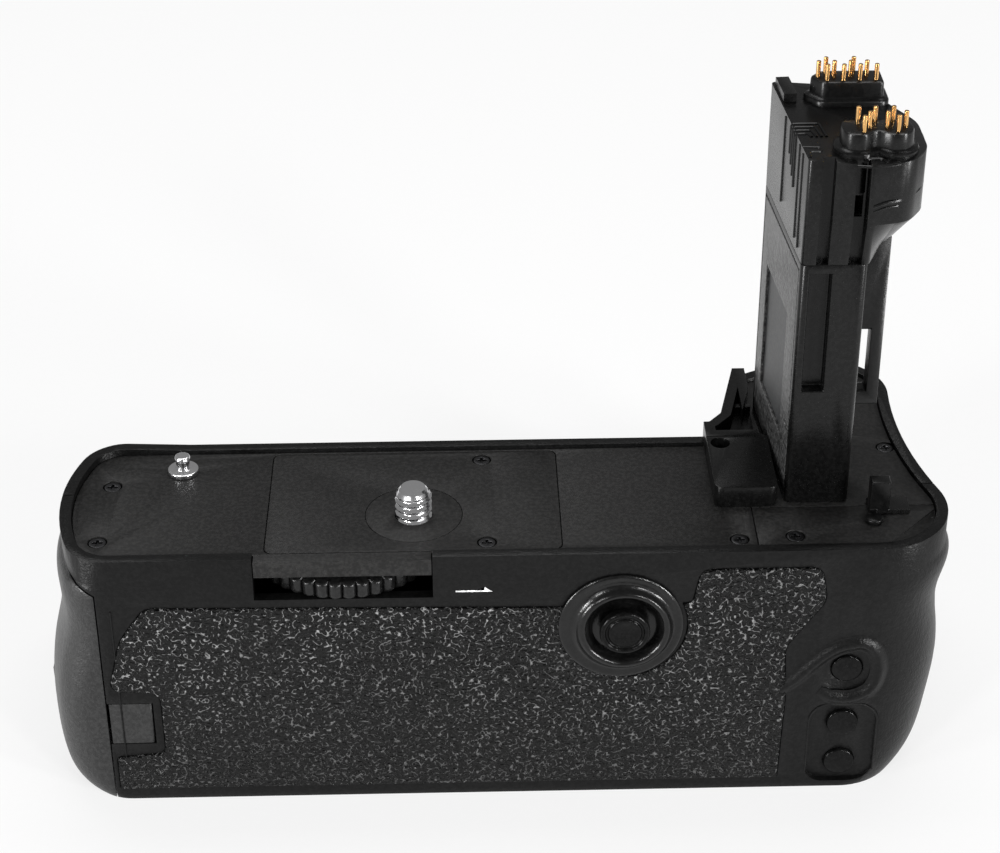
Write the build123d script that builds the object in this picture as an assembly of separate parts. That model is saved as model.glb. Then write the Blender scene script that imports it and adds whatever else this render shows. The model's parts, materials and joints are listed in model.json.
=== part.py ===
from build123d import *
import math
import os

# A battery grip that hangs under a still camera, with a contact tower, a magazine and vertical controls.
# Frame: the origin is the mouth of the tripod socket, +X runs towards the tower end, +Y towards the
# camera's front and +Z up to the camera. All sizes are millimetres.

# Body outline
body_height = 50.5          # base to the face that the camera rests on
rear_depth = 13.8           # screw axis to the rear face
front_depth = 22.4          # screw axis to the front edge of the top
left_reach = 62.6           # screw axis to the left end
right_reach = 91.0          # screw axis to the right end
wall = 2.0                  # thickness of the shells
split_y = 6.0               # where the rear and front shells meet
seam = 0.12                 # half of the gap at a seam between fixed pieces
overrun = 3.0               # how far a cutting tool runs past a face
running_gap = 0.05          # round a part that turns or slides
fixed_gap = 0.01            # round a part that is held fast
left_turn = 10.6            # left end to where the rear edge starts to turn
left_corner_inset = 3.0     # left end to the middle of its corner
left_corner_depth = 5.3     # front edge to the middle of that corner
rear_right_start = 78.0
right_reach_y = 4.0
lobe_side = (87.4, 36.5)
lobe_far = (72.5, 48.8)
lobe_left = (58.7, 42.5)
lobe_root = (54.6, 25.0)
lobe_foot_x = 52.5
skirt_top = 46.0            # below this height the ends swell out and round off to the base
flare_heights = (0.0, 2.5, 5.0, 9.0, 15.0, 28.0, 40.0, 46.0)
flare_left = (-1.2, 1.2, 2.3, 3.0, 3.2, 1.7, 0.1, -1.1)          # how far the left end swells there
flare_right = (-7.0, -4.6, -3.0, -1.6, -0.5, 0.0, 0.0, 0.0)
end_piece_left = 50.0       # the ends are lofted outside these places
end_piece_right = 50.0
base_round = 2.2
rim_height = 0.7            # bead of the shells round the sunken top
rim_width = 2.0
ledge_width = 1.2
ledge_height = 1.6
rim_step_height = 1.2       # the raised corner beside the guide pin
rim_step_end = 40.0
rim_step_flat = 53.0
rim_step_near = -8.0
rim_step_full = 8.0

# Lower front bulge, the handle for upright shooting
bulge_root_y = 15.0
bulge_root_drop = 6.0       # seat to where the handle leaves the body
bulge_shoulder_drop = 23.5  # seat to the handle's shoulder
bulge_place_shares = (-0.0200, 0.0820, 0.3750, 0.7005, 0.8893, 1.0060)    # along the body from its left end
bulge_depths = (42.0, 47.0, 50.5, 55.0, 61.0, 56.0)
bulge_low_round = 9.0
bulge_high_round = 11.0
bulge_end_round_left = 15.0
bulge_end_round_right = 20.0

# Magazine, bay and end cap
cap_length = 8.9            # left end to the end cap's seam
cap_top_drop = 6.5          # seat to the top of that seam
cap_slope_share = 0.516
cap_wall = 2.2
bulkhead_skin = 0.8
tongue_thickness = 1.3
tongue_gap = 0.3
tongue_width = 4.0
tongue_over = 1.9           # how far the locked tongue reaches past the bay's mouth
battery_size = (57.2, 38.6, 21.2)
tray_wall = 1.0
tray_gap = 0.3
divider = 2.0
bay_wall = 1.2
bay_floor_z = 6.2
bay_rear_gap = 0.2
knob_y = 6.0
knob_z = 18.5
knob_radius = 9.0
knob_recess_gap = 0.4
knob_recess_depth = 3.9
knob_thickness = 1.6
knob_lift = 0.2
knob_bar_width = 3.2
knob_bar_rise = 1.0
knob_floor = 1.7
knob_boss_wall = 1.6
shaft_radius = 2.2
stub_radius = 1.4
arm_radius = 2.0
arm_low_inset = 4.3         # from the tray's edges to its arms
arm_high_inset = 4.4
arm_near_inset = 5.1
arm_far_inset = 4.5
contact_thickness = 0.6
contact_width = 1.2
contact_height = 8.0
contact_pitch = 4.5
contact_count = 3

# Boards
board_thickness = 1.2
main_board_x = (-38.0, 24.0)
main_board_y = (-4.0, 19.0)
board_post_height = 1.6
board_post_radius = 1.3
board_post_inset = 3.0

# Top plates
plate_thickness = 1.6
plate_gap = 0.15
corner_seam_x = 58.0
corner_seam_y = 0.4
panel_half = 25.0
panel_near = 11.0
panel_far = 19.6
panel_thickness = 0.8
panel_corner = 1.5
collar_radius = 8.3
collar_step = 0.9
collar_gap = 0.06

# Camera screw, dial and gears
screw_radius = 3.175        # a quarter-inch camera screw
screw_height = 5.6
screw_tip_radius = 2.3
screw_tip_height = 1.0
screw_shank_radius = 2.2
screw_neck_radius = 2.9
screw_play = 0.1
dial_x = -12.0
dial_y = 2.4
dial_radius = 17.0
dial_low = 43.1
dial_thickness = 3.2
dial_teeth = 44
dial_tooth_depth = 0.8
dial_tooth_flat_share = 0.3
dial_hub_radius = 3.0
gear_module = 0.6
gear_low = 46.85
gear_thickness = 1.8
dial_gear_teeth = 14
idler_teeth = 12
screw_gear_teeth = 20
addendum_share = 0.8
dedendum_share = 1.1
pressure_angle_share = 0.1389
backlash = 0.12
flank_steps = 4
clip_thickness = 0.3
clip_radius = 3.4
axle_radius = 1.5
idler_axle_radius = 1.0
idler_head_radius = 1.6
bracket_low = 40.6
bracket_thickness = 1.6
bracket_reach = (-34.9, 12.3)
bracket_width = 6.0
post_radius = 1.9
notch = (-26.9, 3.2)
notch_depth = 7.6
lip_thickness = 1.2
lip_height = 3.1
lip_set = 0.1

# Guide pin
guide = (-40.7, 14.4)
guide_flange_radius = 2.7
guide_flange_height = 0.9
guide_pin_radius = 1.3
guide_pin_height = 3.5
guide_tip_round = 0.6
guide_root = 3.0

# Top screws
screw_heads = ((-52.7, 10.2), (-53.3, -6.8), (11.9, 17.0), (12.4, -8.6), (55.0, -9.0), (64.5, -8.3), (84.1, 19.0))
head_radius = 1.45
head_sink = 0.15
head_height = 0.9
head_clear = 0.25
cross_width = 0.45
cross_length = 1.7
cross_depth = 0.5
shank_radius = 0.8
shank_clear = 0.08
shank_length = 3.2
boss_radius = 2.1
boss_height = 3.8
rib_thickness = 1.6

# Door holder beside the tower
holder_x = (51.7, 62.5)
holder_y = (0.5, 18.0)
holder_height = 4.0
holder_hole = (54.0, 15.0)
holder_hole_radius = 1.7
holder_hole_depth = 3.0
holder_round = 1.6
pocket_right = 61.0
pocket_far = 39.5
pocket_inset = 0.5          # body outline to the outside of the pocket's wall
pocket_wall = 1.9
pocket_height = 4.2
pocket_sill = 1.0
pocket_rib = (29.2, 30.4)
pocket_rib_height = 2.6

# Hook post
hook_x = (77.9, 81.3)
hook_y = (-2.4, 0.2)
hook_height = 6.4
hook_foot_right = 84.9
hook_foot_far = 1.6
hook_plate = 1.0
hook_foot = (78.4, -4.5)
hook_foot_radius = 1.5

# Tower
tower_left = 63.9
tower_near = 1.5
tower_far = 32.6
tower_lean_share = 0.073
tower_right = 74.8
tower_split = 46.3
tower_top = 65.0
tower_wall = 1.6
tower_side_wall = 2.8
tower_round = 1.2
groove_x = (65.4, 69.0)
groove_z = (22.4, 44.6)
groove_depth = 2.2
fin_y = (11.6, 14.9)
fin_right = 80.3
fin_low = 13.6
slot_x = (76.0, 78.3)
slot_z = (16.2, 28.4)
panel_margin = 1.8
side_panel_thickness = 1.2
label_y = (9.6, 26.8)
label_z = (9.4, 33.0)
label_thickness = 0.4
label_sink = 0.5
head_right = 83.5
head_right_y = (5.5, 15.5)
head_near_right = (74.0, -0.6)
head_near_corner = (80.4, 0.6)
head_far_right = (76.5, 30.0)
head_band_top = 54.4
head_rounds = (0.8, 3.0, 5.0, 6.0, 9.0, 5.0, 0.8)      # at its corners, in the order of head_points
neck_margin = 3.0
prong_grooves = ((66.2, 68.2), (71.4, 73.6))
prong_depth = 2.4
head_tab_y = (24.0, 31.0)
head_tab_x = (0.4, 2.6)
head_tab_height = 1.5
block_one = ((66.9, 25.2), (69.0, 22.6), (79.0, 22.6), (79.0, 27.8), (69.0, 27.8))
block_rise = 4.0
block_gap = 0.1
block_two_left = (71.6, 4.6)
block_two_right = (78.4, 4.8)
block_two_radius = 2.4
block_two_back = 7.9
pin_radius = 0.38
pin_height = 2.8
pins_one_rows = ((23.7, (69.6, 72.3, 75.0, 77.7)), (25.2, (68.3, 70.9, 73.6, 76.3)), (26.7, (69.7, 74.3)))
pins_two_rows = ((6.9, (72.1, 74.8, 77.7)), (5.0, (73.7, 76.5, 79.4)), (3.4, (72.6, 78.0)))
tower_board_drop = 6.3

# Joystick
stick_x = 35.5
stick_z = 36.4
mound_radius = 10.6
mound_height = 1.9
mound_gap = 0.25
mound_sleeve = 6.4
ring_radius = 7.3
cup_radius = 5.9
cup_floor = 0.3             # below the rear face
stick_hole = 3.2
cap_radius = 4.3
cap_rise = 2.6
cap_height = 1.8
dish_radius = 3.0
dish_depth = 0.5
stem_radius = 1.6
pivot_depth = 4.3           # rear face to the stick's pivot
stick_hub = 1.3
ring_inner = 1.9
ring_outer = 2.9
ring_half = 1.0
carrier_inner = 3.3
carrier_outer = 4.1
carrier_half = 1.2
housing_inner = 4.15
housing_outer = 4.9
housing_floor = 0.8
pivot_pin_radius = 0.5
press_travel = 0.4
travel_margin = 0.15

# Rear buttons
button_x = 74.4
button_zs = (25.5, 13.7, 4.9)
button_radius = 2.7
button_gap = 0.1
button_rise = 0.7           # above the rear face
button_flange = 3.3
button_flange_thickness = 0.8
button_travel = 0.5
stem_small = 0.8
stem_engage = 0.7
switch_half = 2.2
switch_height = 2.0
switch_gap = 0.95           # back of a button's flange to its switch
pad_x = (69.5, 80.6)
pad_z = (1.8, 31.0)
pad_y = -10.4
button_board_z = (2.6, 29.5)
board_posts = (70.9, 77.9)
board_post_z = 19.6
scoop_depth = 1.5
scoop_radius = 5.6
panel_dip = 1.3
panel_dip_x = (68.2, 80.4)
panel_dip_low = 1.2
panel_dip_top = 18.6
panel_dip_round = 3.2

# Controls at the right end and on the front
shutter_y = 35.0
shutter_z = 22.0
shutter_radius = 4.6
shutter_rise = 1.4
shutter_flange = 5.3
end_draw = 0.5              # room for the flange where the end wall draws in towards the base
function_y = 28.0
function_z = 30.0
function_rise = 0.9
end_post_one = (34.6, 30.1)
end_post_two = (36.5, 13.5)
end_board_low = ((32.5, 40.5), (11.5, 30.0))
end_board_high = ((25.0, 36.0), (25.6, 32.4))
wheel_y = 22.4
wheel_z = 20.0
wheel_radius = 7.5
wheel_width = 4.6
wheel_rise = 1.3
wheel_teeth = 26
wheel_tooth_depth = 0.5
wheel_gap = 0.3
wheel_axle_radius = 1.2
wheel_bracket = 1.6
wheel_bracket_half = 1.8
lever_x = 70.0
lever_z = 14.0
lever_radius = 4.6
lever_depth = 1.2
lever_lift = 0.8
lever_face_drop = 2.4       # deepest section of the handle to its face behind the lever
lever_rise = 1.6
lever_tab = 7.4
lever_tab_width = 2.6
lever_shaft_radius = 1.6
lever_boss_wall = 1.4
lever_boss_depth = 1.6

# Cord flap
flap_x = (-53.3, -45.8)
flap_z = (12.6, 21.2)
flap_thickness = 1.4
flap_gap = 0.15
flap_pin_radius = 0.35
flap_pin_reach = 1.0
cord_hole_x = (-49.8, -47.4)
cord_hole_z = (13.4, 19.2)

# Grip skins
skin_thickness = 1.1
skin_rise = 0.35
skin_gap = 0.12
skin_point_shares = ((0.1107, 0.8218), (0.0801, 0.6871), (0.0632, 0.4772), (0.1198, 0.4653), (0.1198, 0.2040),
                     (0.0638, 0.1881), (0.0638, 0.0475), (0.8203, 0.0475), (0.8236, 0.4059), (0.8190, 0.6158),
                     (0.8620, 0.8099), (0.8542, 0.9446), (0.7220, 0.9446), (0.7135, 0.8099), (0.5573, 0.8020))
skin_rounds = (3.0, 12.0, 1.8, 2.2, 1.6, 0.8, 0.5, 0.5, 12.0, 5.0, 4.0, 2.2, 2.2, 1.0, 0.5)    # at its corners, in the same order
front_skin_x = (-42.0, 56.0)
front_skin_z = (9.5, 33.0)
front_skin_round = 6.0

# Base
base_thickness = 1.6
base_ledge = 1.5
base_corner = 3.0
base_point_shares = ((0.1011, 0.0710), (0.8205, 0.0710), (0.8205, 0.7700), (0.6600, 0.7400), (0.1011, 0.6400))
base_screw_inset = 2.9
base_boss_height = 3.0
base_shank = 2.6
bush_radius = 5.0
bush_flange_radius = 6.6
bush_flange_thickness = 1.2
socket_radius = 3.175
socket_depth = 4.6
bush_height = 5.6

# Levels and places worked out from the sizes
face_y = -rear_depth
seat_z = body_height
plate_low = seat_z - plate_thickness
cap_x = left_reach - cap_length
cap_top = body_height - cap_top_drop
left_corner_far = front_depth - left_corner_depth
body_length = left_reach + right_reach
bulge_root_z = body_height - bulge_root_drop
bulge_shoulder_z = body_height - bulge_shoulder_drop
bulge_stations = [(-left_reach + share * body_length, depth) for share, depth in zip(bulge_place_shares, bulge_depths)]
deepest = max(bulge_depths)
body_depth = rear_depth + deepest
bulkhead_x = (-cap_x + seam, -cap_x + seam + bulkhead_skin)
tongue_x = (bulkhead_x[1] + tongue_gap, bulkhead_x[1] + tongue_gap + tongue_thickness)
cell_x = tongue_x[1] + tongue_gap + tray_wall
second_cell_x = cell_x + battery_size[0] + divider
tray_x = (cell_x - tray_wall, second_cell_x + battery_size[0] + tray_wall)
bay_x = (tray_x[0], tray_x[1] + tray_gap + bay_wall)
bay_y0 = face_y + wall + bay_rear_gap
tray_y = (bay_y0 + bay_wall + tray_gap, bay_y0 + bay_wall + tray_gap + 2 * tray_wall + battery_size[1])
bay_y = (bay_y0, tray_y[1] + tray_gap + bay_wall)
tray_z = (bay_floor_z + bay_wall + tray_gap, bay_floor_z + bay_wall + tray_gap + tray_wall + battery_size[2])
bay_z = (bay_floor_z, tray_z[1] + tray_gap + bay_wall)
arm_near_y, arm_far_y = tray_y[0] + arm_near_inset, tray_y[1] - arm_far_inset
arm_low_z, arm_high_z = tray_z[0] + arm_low_inset, tray_z[1] - arm_high_inset
main_board_z = (bay_z[1] + board_post_height, bay_z[1] + board_post_height + board_thickness)
end_reach = left_reach + max(flare_left)
seat_reach = left_reach + flare_left[-1]
knob_floor_x = -end_reach + knob_recess_depth
tongue_reach = bay_z[1] - bay_wall + tongue_over - knob_z
dial_top = dial_low + dial_thickness
gear_top = gear_low + gear_thickness
bracket_top = bracket_low + bracket_thickness
notch_low = seat_z - notch_depth
head_low = seat_z - head_sink - head_height
shank_low = head_low - shank_length
pivot_y = face_y + pivot_depth
housing_end_y = pivot_y + carrier_half + press_travel + travel_margin
flange_back_y = pad_y + running_gap + button_flange_thickness
switch_y = flange_back_y + switch_gap
button_board_y = (switch_y + switch_height, switch_y + switch_height + board_thickness)
end_inner_x = right_reach - wall - end_draw
end_flange_x = end_inner_x - running_gap - button_flange_thickness
end_switch_x = end_flange_x - switch_gap
end_board_x = (end_switch_x - switch_height - board_thickness, end_switch_x - switch_height)
wheel_x = right_reach + wheel_rise - wheel_radius
lever_face = deepest - lever_face_drop
lever_y = lever_face - lever_depth
flap_axis = (flap_x[1] - flap_thickness / 2, face_y + flap_thickness / 2)
tower_board_z = seat_z + tower_top - tower_board_drop
base_outline = [(-left_reach + share_x * body_length, face_y + share_y * body_depth)
                for share_x, share_y in base_point_shares]
skin_outline_points = [(-left_reach + share_x * body_length, share_z * body_height)
                       for share_x, share_z in skin_point_shares]
base_middle = (sum(x for x, y in base_outline) / len(base_outline),
               sum(y for x, y in base_outline) / len(base_outline))


def block(x_range, y_range, z_range):
    """A box that spans a low and a high value on each axis."""
    spans = [(min(pair), max(pair)) for pair in (x_range, y_range, z_range)]
    size = [high - low for low, high in spans]
    middle = [(high + low) / 2 for low, high in spans]
    return Pos(*middle) * Box(*size)


def rod_z(x, y, low, high, radius):
    """A cylinder along Z."""
    return Pos(x, y, (low + high) / 2) * Cylinder(radius, high - low)


def rod_y(x, z, low, high, radius):
    """A cylinder along Y."""
    return Pos(x, (low + high) / 2, z) * Rot(90, 0, 0) * Cylinder(radius, high - low)


def rod_x(y, z, low, high, radius):
    """A cylinder along X."""
    return Pos((low + high) / 2, y, z) * Rot(0, 90, 0) * Cylinder(radius, high - low)


def left_edge(front, reach):
    """The rounded left end of the outline, from the front edge round to the rear edge."""
    corner_x = -reach + left_corner_inset
    far_corner = TangentArc(front @ 1, (corner_x, left_corner_far), tangent=front % 1)
    near_corner_y = front_depth - rear_depth - left_corner_far
    end = TangentArc(far_corner @ 1, (corner_x, near_corner_y), tangent=far_corner % 1)
    return [far_corner, end, TangentArc(end @ 1, (-reach + left_turn, -rear_depth), tangent=end % 1)]


def right_edge(rear, swell):
    """The right end of the outline with its lobe, from the rear edge round to the front edge."""
    corner = TangentArc(rear @ 1, (right_reach + swell, right_reach_y), tangent=rear % 1)
    side = TangentArc(corner @ 1, (lobe_side[0] + swell, lobe_side[1]), tangent=corner % 1)
    far = TangentArc(side @ 1, lobe_far, tangent=side % 1)
    back = TangentArc(far @ 1, lobe_left, tangent=far % 1)
    root = Line(back @ 1, lobe_root)
    foot = Line(root @ 1, (lobe_foot_x, front_depth))
    return [corner, side, far, back, root, foot]


def plan_face(inset):
    """The outline of the body at its seat, seen from above and drawn in by inset."""
    rear = Line((-seat_reach + left_turn, -rear_depth), (rear_right_start, -rear_depth))
    right = right_edge(rear, 0)
    front = Line(right[-1] @ 1, (-seat_reach + left_turn, front_depth))
    face = make_face([rear] + right + [front] + left_edge(front, seat_reach))
    return offset(face, amount=-inset) if inset else face


def left_section(swell, inset):
    """Outline of the left end where it swells by an amount."""
    reach = left_reach + swell
    cut = -end_piece_left + overrun
    front = Line((cut, front_depth), (-reach + left_turn, front_depth))
    left = left_edge(front, reach)
    rear = Line(left[-1] @ 1, (cut, -rear_depth))
    face = make_face([front] + left + [rear, Line(rear @ 1, front @ 0)])
    return offset(face, amount=-inset) if inset else face


def right_section(swell, inset):
    """Outline of the right end where it swells by an amount."""
    cut = end_piece_right - overrun
    rear = Line((cut, -rear_depth), (rear_right_start + swell / 2, -rear_depth))
    right = right_edge(rear, swell)
    front = Line(right[-1] @ 1, (cut, front_depth))
    face = make_face([rear] + right + [front, Line(front @ 1, rear @ 0)])
    return offset(face, amount=-inset) if inset else face


def end_piece(section, swells, inset):
    """One end of the body under the skirt's top, lofted through its outlines."""
    faces = [Pos(0, 0, height) * section(swell, inset) for height, swell in zip(flare_heights, swells)]
    return loft(faces) & block((-end_reach - overrun, right_reach + overrun), (face_y - overrun, 2 * deepest),
                               (inset, skirt_top))


def rounded(points, radii):
    """A polygon with a radius of its own at each corner."""
    face = make_face(Polyline(*points, close=True))
    for (x, y), radius in zip(points, radii):
        if radius:
            corner = face.vertices().sort_by_distance((x, y, 0))[0]
            face = fillet(corner, radius)
    return face


def along_y(face, low, high):
    """Carry an outline drawn in x and z from one y to another."""
    rear = Plane(origin=(0, low, 0), x_dir=(1, 0, 0), z_dir=(0, -1, 0))
    return extrude(rear * face, high - low, dir=(0, 1, 0))


def along_x(face, low, high):
    """Carry an outline drawn in y and z from one x to another."""
    side = Plane(origin=(low, 0, 0), x_dir=(0, 1, 0), z_dir=(1, 0, 0))
    return extrude(side * face, high - low, dir=(1, 0, 0))


def along_z(face, low, high):
    """Carry an outline drawn in x and y from one height to another."""
    return extrude(Pos(0, 0, low) * face, high - low, dir=(0, 0, 1))


def joined(pieces):
    """One solid made of overlapping pieces."""
    whole = pieces[0]
    for piece in pieces[1:]:
        whole = whole + piece
    return whole


def group(pieces):
    """Separate solids kept together as one node."""
    return Compound(children=[Solid(piece.solid().wrapped) for piece in pieces])


def ends_prism(inset):
    """The body seen from the rear: ends that swell out and round off to the base."""
    left = [(-left_reach - swell + inset, height) for height, swell in zip(flare_heights, flare_left)]
    right = [(right_reach + swell - inset, height) for height, swell in zip(flare_heights, flare_right)]
    face = make_face([Spline(*left), Line(left[-1], right[-1]), Spline(*right), Line(right[0], left[0])])
    return along_y(face, face_y - overrun, deepest + overrun)


def side_prism(inset):
    """The body seen from its end: a small round where the rear face meets the base."""
    low, high = inset, body_height + 2 * overrun
    near, far = face_y + inset, deepest + overrun
    face = rounded(((near, low), (far, low), (far, high), (near, high)), (base_round, 0, 0, 0))
    return along_x(face, -end_reach - overrun, right_reach + overrun)


def bulge_section(station, inset):
    """Cross-section of the lower handle at one place along the body."""
    x, depth = station
    points = ((bulge_root_y, 0), (depth, 0), (depth, bulge_shoulder_z), (bulge_root_y, bulge_root_z))
    face = rounded(points, (0, bulge_low_round, bulge_high_round, 0))
    face = offset(face, amount=-inset) if inset else face
    return Plane(origin=(x, 0, 0), x_dir=(0, 1, 0), z_dir=(1, 0, 0)) * face


def bulge(inset):
    """The lower handle, blended along the body and rounded at its ends."""
    swell = loft([bulge_section(station, inset) for station in bulge_stations])
    left, right, near = -end_reach + inset, right_reach - inset, face_y + inset
    corners = ((left, near), (right, near), (right, deepest - inset), (left, bulge_stations[1][1] - inset))
    face = rounded(corners, (0, 0, bulge_end_round_right - inset, bulge_end_round_left - inset))
    return swell & along_z(face, inset, skirt_top) & ends_prism(inset)


def envelope(inset, top):
    """The whole outer form of the body, drawn in by inset and cut off at a height."""
    middle = along_z(plan_face(inset), inset, skirt_top) & block((-end_piece_left, end_piece_right),
                                                                 (face_y, 2 * deepest), (0, skirt_top))
    lower = middle + end_piece(left_section, flare_left, inset) + end_piece(right_section, flare_right, inset)
    return ((lower + along_z(plan_face(inset), skirt_top, top)) & side_prism(inset)) + bulge(inset)


def cap_zone(gap, drop, open_x):
    """The space of the end cap, left of its seam and under its slanting top."""
    x, far_x = -cap_x + gap, -end_reach - overrun
    rise = cap_slope_share * (x - far_x)
    points = ((far_x, -overrun), (x + open_x, -overrun), (x + open_x, cap_top + gap - drop),
              (x, cap_top + gap - drop), (far_x, cap_top + gap - drop + rise))
    if not open_x:
        points = points[:1] + points[1:2] + points[3:]
    face = make_face(Polyline(*points, close=True))
    return along_y(face, face_y - overrun, deepest + overrun)


def rim_step():
    """The raised corner of the rim beside the guide pin, fading along both edges."""
    ring = plan_face(0) - plan_face(rim_width)
    wall_ring = along_z(ring, seat_z, seat_z + rim_step_height)
    left, low, bead, high = -end_reach - overrun, seat_z, seat_z + rim_height, seat_z + rim_step_height
    side = ((left, low), (left, high), (-rim_step_flat, high), (-rim_step_end, bead), (-rim_step_end, low))
    far = front_depth + overrun
    ends = ((rim_step_near, low), (rim_step_near, bead), (rim_step_full, high), (far, high), (far, low))
    side_face = make_face(Polyline(*side, close=True))
    ends_face = make_face(Polyline(*ends, close=True))
    return wall_ring & along_y(side_face, face_y - overrun, far) & along_x(ends_face, left, -rim_step_end)


def base_face(inset):
    """Outline of the cover under the body."""
    face = rounded(base_outline, (base_corner,) * len(base_outline))
    return offset(face, amount=-inset) if inset else face


def base_screw_places():
    """Places of the base screws, drawn in from the corners of the cover."""
    places = []
    for x, y in base_outline:
        away_x, away_y = base_middle[0] - x, base_middle[1] - y
        places.append((x + math.copysign(base_screw_inset, away_x), y + math.copysign(base_screw_inset, away_y)))
    return places


def skin_face(grow):
    """Outline of the rear grip skin, with a round bite for the stick's mound."""
    face = rounded(skin_outline_points, skin_rounds)
    face = face - Pos(stick_x, stick_z) * Circle(mound_radius + mound_gap)
    return offset(face, amount=grow) if grow else face


def front_skin_space(grow):
    """Space in front of the handle that its grip skin covers."""
    low_x, high_x = front_skin_x
    low_z, high_z = front_skin_z
    points = ((low_x, low_z), (high_x, low_z), (high_x, high_z), (low_x, high_z))
    face = rounded(points, (front_skin_round,) * len(points))
    face = offset(face, amount=grow) if grow else face
    return along_y(face, front_depth + wall, deepest + overrun)


def tray_tunnel(gap):
    """The magazine tray's cross-section carried out through the left end, with a gap round it."""
    return block((-end_reach - overrun, tray_x[1] + gap), (tray_y[0] - gap, tray_y[1] + gap),
                 (tray_z[0] - gap, tray_z[1] + gap))


def bulkhead():
    """Thin wall that closes the shells at the left and frames the magazine."""
    slice_x = block(bulkhead_x, (face_y, deepest), (0, plate_low))
    return (envelope(wall / 2, plate_low) & slice_x) - tray_tunnel(tray_gap)


def top_screw_boss(place):
    """Boss for one top screw, joined by a rib to the nearest wall."""
    x, y = place
    low = plate_low - boss_height
    half = rib_thickness / 2
    if y < split_y:
        rib = block((x - half, x + half), (face_y + wall / 2, y), (low, plate_low))
    elif x < lobe_foot_x:
        rib = block((x - half, x + half), (y, front_depth - wall / 2), (low, plate_low))
    else:
        rib = block((x, right_reach - wall / 2), (y - half, y + half), (low, plate_low))
    return rod_z(x, y, low, plate_low, boss_radius) + rib


def button_pad():
    """Thicker wall behind the rear buttons, with two posts for their board."""
    pad = block(pad_x, (face_y + panel_dip / 2, pad_y), pad_z)
    posts = [rod_y(x, board_post_z, pad_y - running_gap, button_board_y[0], board_post_radius) for x in board_posts]
    return joined([pad] + posts)


def end_posts():
    """Two posts inside the right end for the control board, and two brackets for the wheel's axle."""
    start = end_inner_x + wall / 2
    pieces = [rod_x(y, z, end_board_x[1], start, board_post_radius) for y, z in (end_post_one, end_post_two)]
    for side in (-1, 1):
        near = wheel_z + side * (wheel_width / 2 + wheel_gap)
        far = near + side * wheel_bracket
        pieces.append(block((wheel_x - wheel_bracket_half, start),
                            (wheel_y - wheel_bracket_half, wheel_y + wheel_bracket_half), (near, far)))
    return pieces


def shell_solid():
    """Both shells as one: walls, ledges, bulkhead and bosses, before they are parted."""
    hollow = envelope(0, seat_z + rim_height) - envelope(wall, seat_z + overrun)
    hollow = hollow - along_z(base_face(base_ledge), -overrun, wall + overrun / 2)
    ledge = plan_face(wall / 2) - plan_face(wall + ledge_width)
    ring = base_face(-base_ledge / 2) - base_face(base_ledge)
    pieces = [hollow, along_z(ledge, plate_low - ledge_height, plate_low), bulkhead(), rim_step(),
              along_z(ring, base_thickness, base_thickness + base_ledge)]
    pieces += [top_screw_boss(place) for place in screw_heads]
    pieces += [rod_z(x, y, base_thickness, base_thickness + base_boss_height, boss_radius)
               for x, y in base_screw_places()]
    whole = joined(pieces)
    whole = whole - along_z(base_face(-plate_gap), -overrun, base_thickness)
    for x, y in base_screw_places():
        whole = whole - rod_z(x, y, 0, base_thickness + base_shank + shank_clear, shank_radius + shank_clear)
    for x, y in screw_heads:
        whole = whole - rod_z(x, y, shank_low - shank_clear, seat_z, shank_radius + shank_clear)
    return (whole - cap_zone(seam, 0, 0)) & envelope(0, seat_z + rim_step_height)


def half_space(near, far):
    """Everything between two planes that face along Y."""
    return block((-end_reach - overrun, right_reach + overrun), (near, far), (-overrun, seat_z + 2 * overrun))


def rear_shell(shell):
    """Rear half of the casing, with its dial notch, control openings and skin recess."""
    rear = shell & half_space(face_y - overrun, split_y - seam)
    rear = rear + (button_pad() & envelope(0, seat_z))
    inside = face_y + wall + ledge_width + wall / 2
    rear = rear - block(notch, (face_y - overrun, inside), (notch_low, seat_z + 2 * overrun))
    rear = rear - rod_y(stick_x, stick_z, face_y - overrun, inside, mound_sleeve + plate_gap)
    rear = rear - along_y(skin_face(skin_gap), face_y - overrun, face_y + skin_thickness - skin_rise)
    dip = rounded(((panel_dip_x[0], panel_dip_low), (panel_dip_x[1], panel_dip_low), (panel_dip_x[1], panel_dip_top),
                   (panel_dip_x[0], panel_dip_top)), (panel_dip_round,) * 4)
    rear = rear - along_y(dip, face_y - overrun, face_y + panel_dip)
    scoop_ball = (scoop_radius ** 2 + scoop_depth ** 2) / (2 * scoop_depth)
    rear = rear - Pos(button_x, face_y + scoop_depth - scoop_ball, button_zs[0]) * Sphere(scoop_ball)
    for z in button_zs:
        rear = rear - rod_y(button_x, z, face_y - overrun, pad_y + running_gap, button_radius + button_gap)
        rear = rear - rod_y(button_x, z, pad_y, button_board_y[0], button_flange + plate_gap)
    leaf = (flap_z[0] - flap_gap, flap_z[1] + flap_gap)
    rear = rear - block((-cap_x - overrun, flap_x[1] + flap_gap), (face_y - overrun, face_y + flap_thickness + flap_gap),
                        leaf)
    rear = rear - cord_hole()
    pin_span = (flap_z[0] - flap_pin_reach, flap_z[1] + flap_pin_reach)
    return rear - rod_z(*flap_axis, *pin_span, flap_pin_radius + fixed_gap)


def cord_hole():
    """Slot behind the flap through which a cord could reach the battery space."""
    return block(cord_hole_x, (face_y - overrun, tray_y[0] + tray_wall + overrun), cord_hole_z)


def lever_boss():
    """Thicker wall behind the lever on the front of the handle."""
    return rod_y(lever_x, lever_z, lever_y - lever_boss_depth, deepest, lever_radius + lever_boss_wall)


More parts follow.
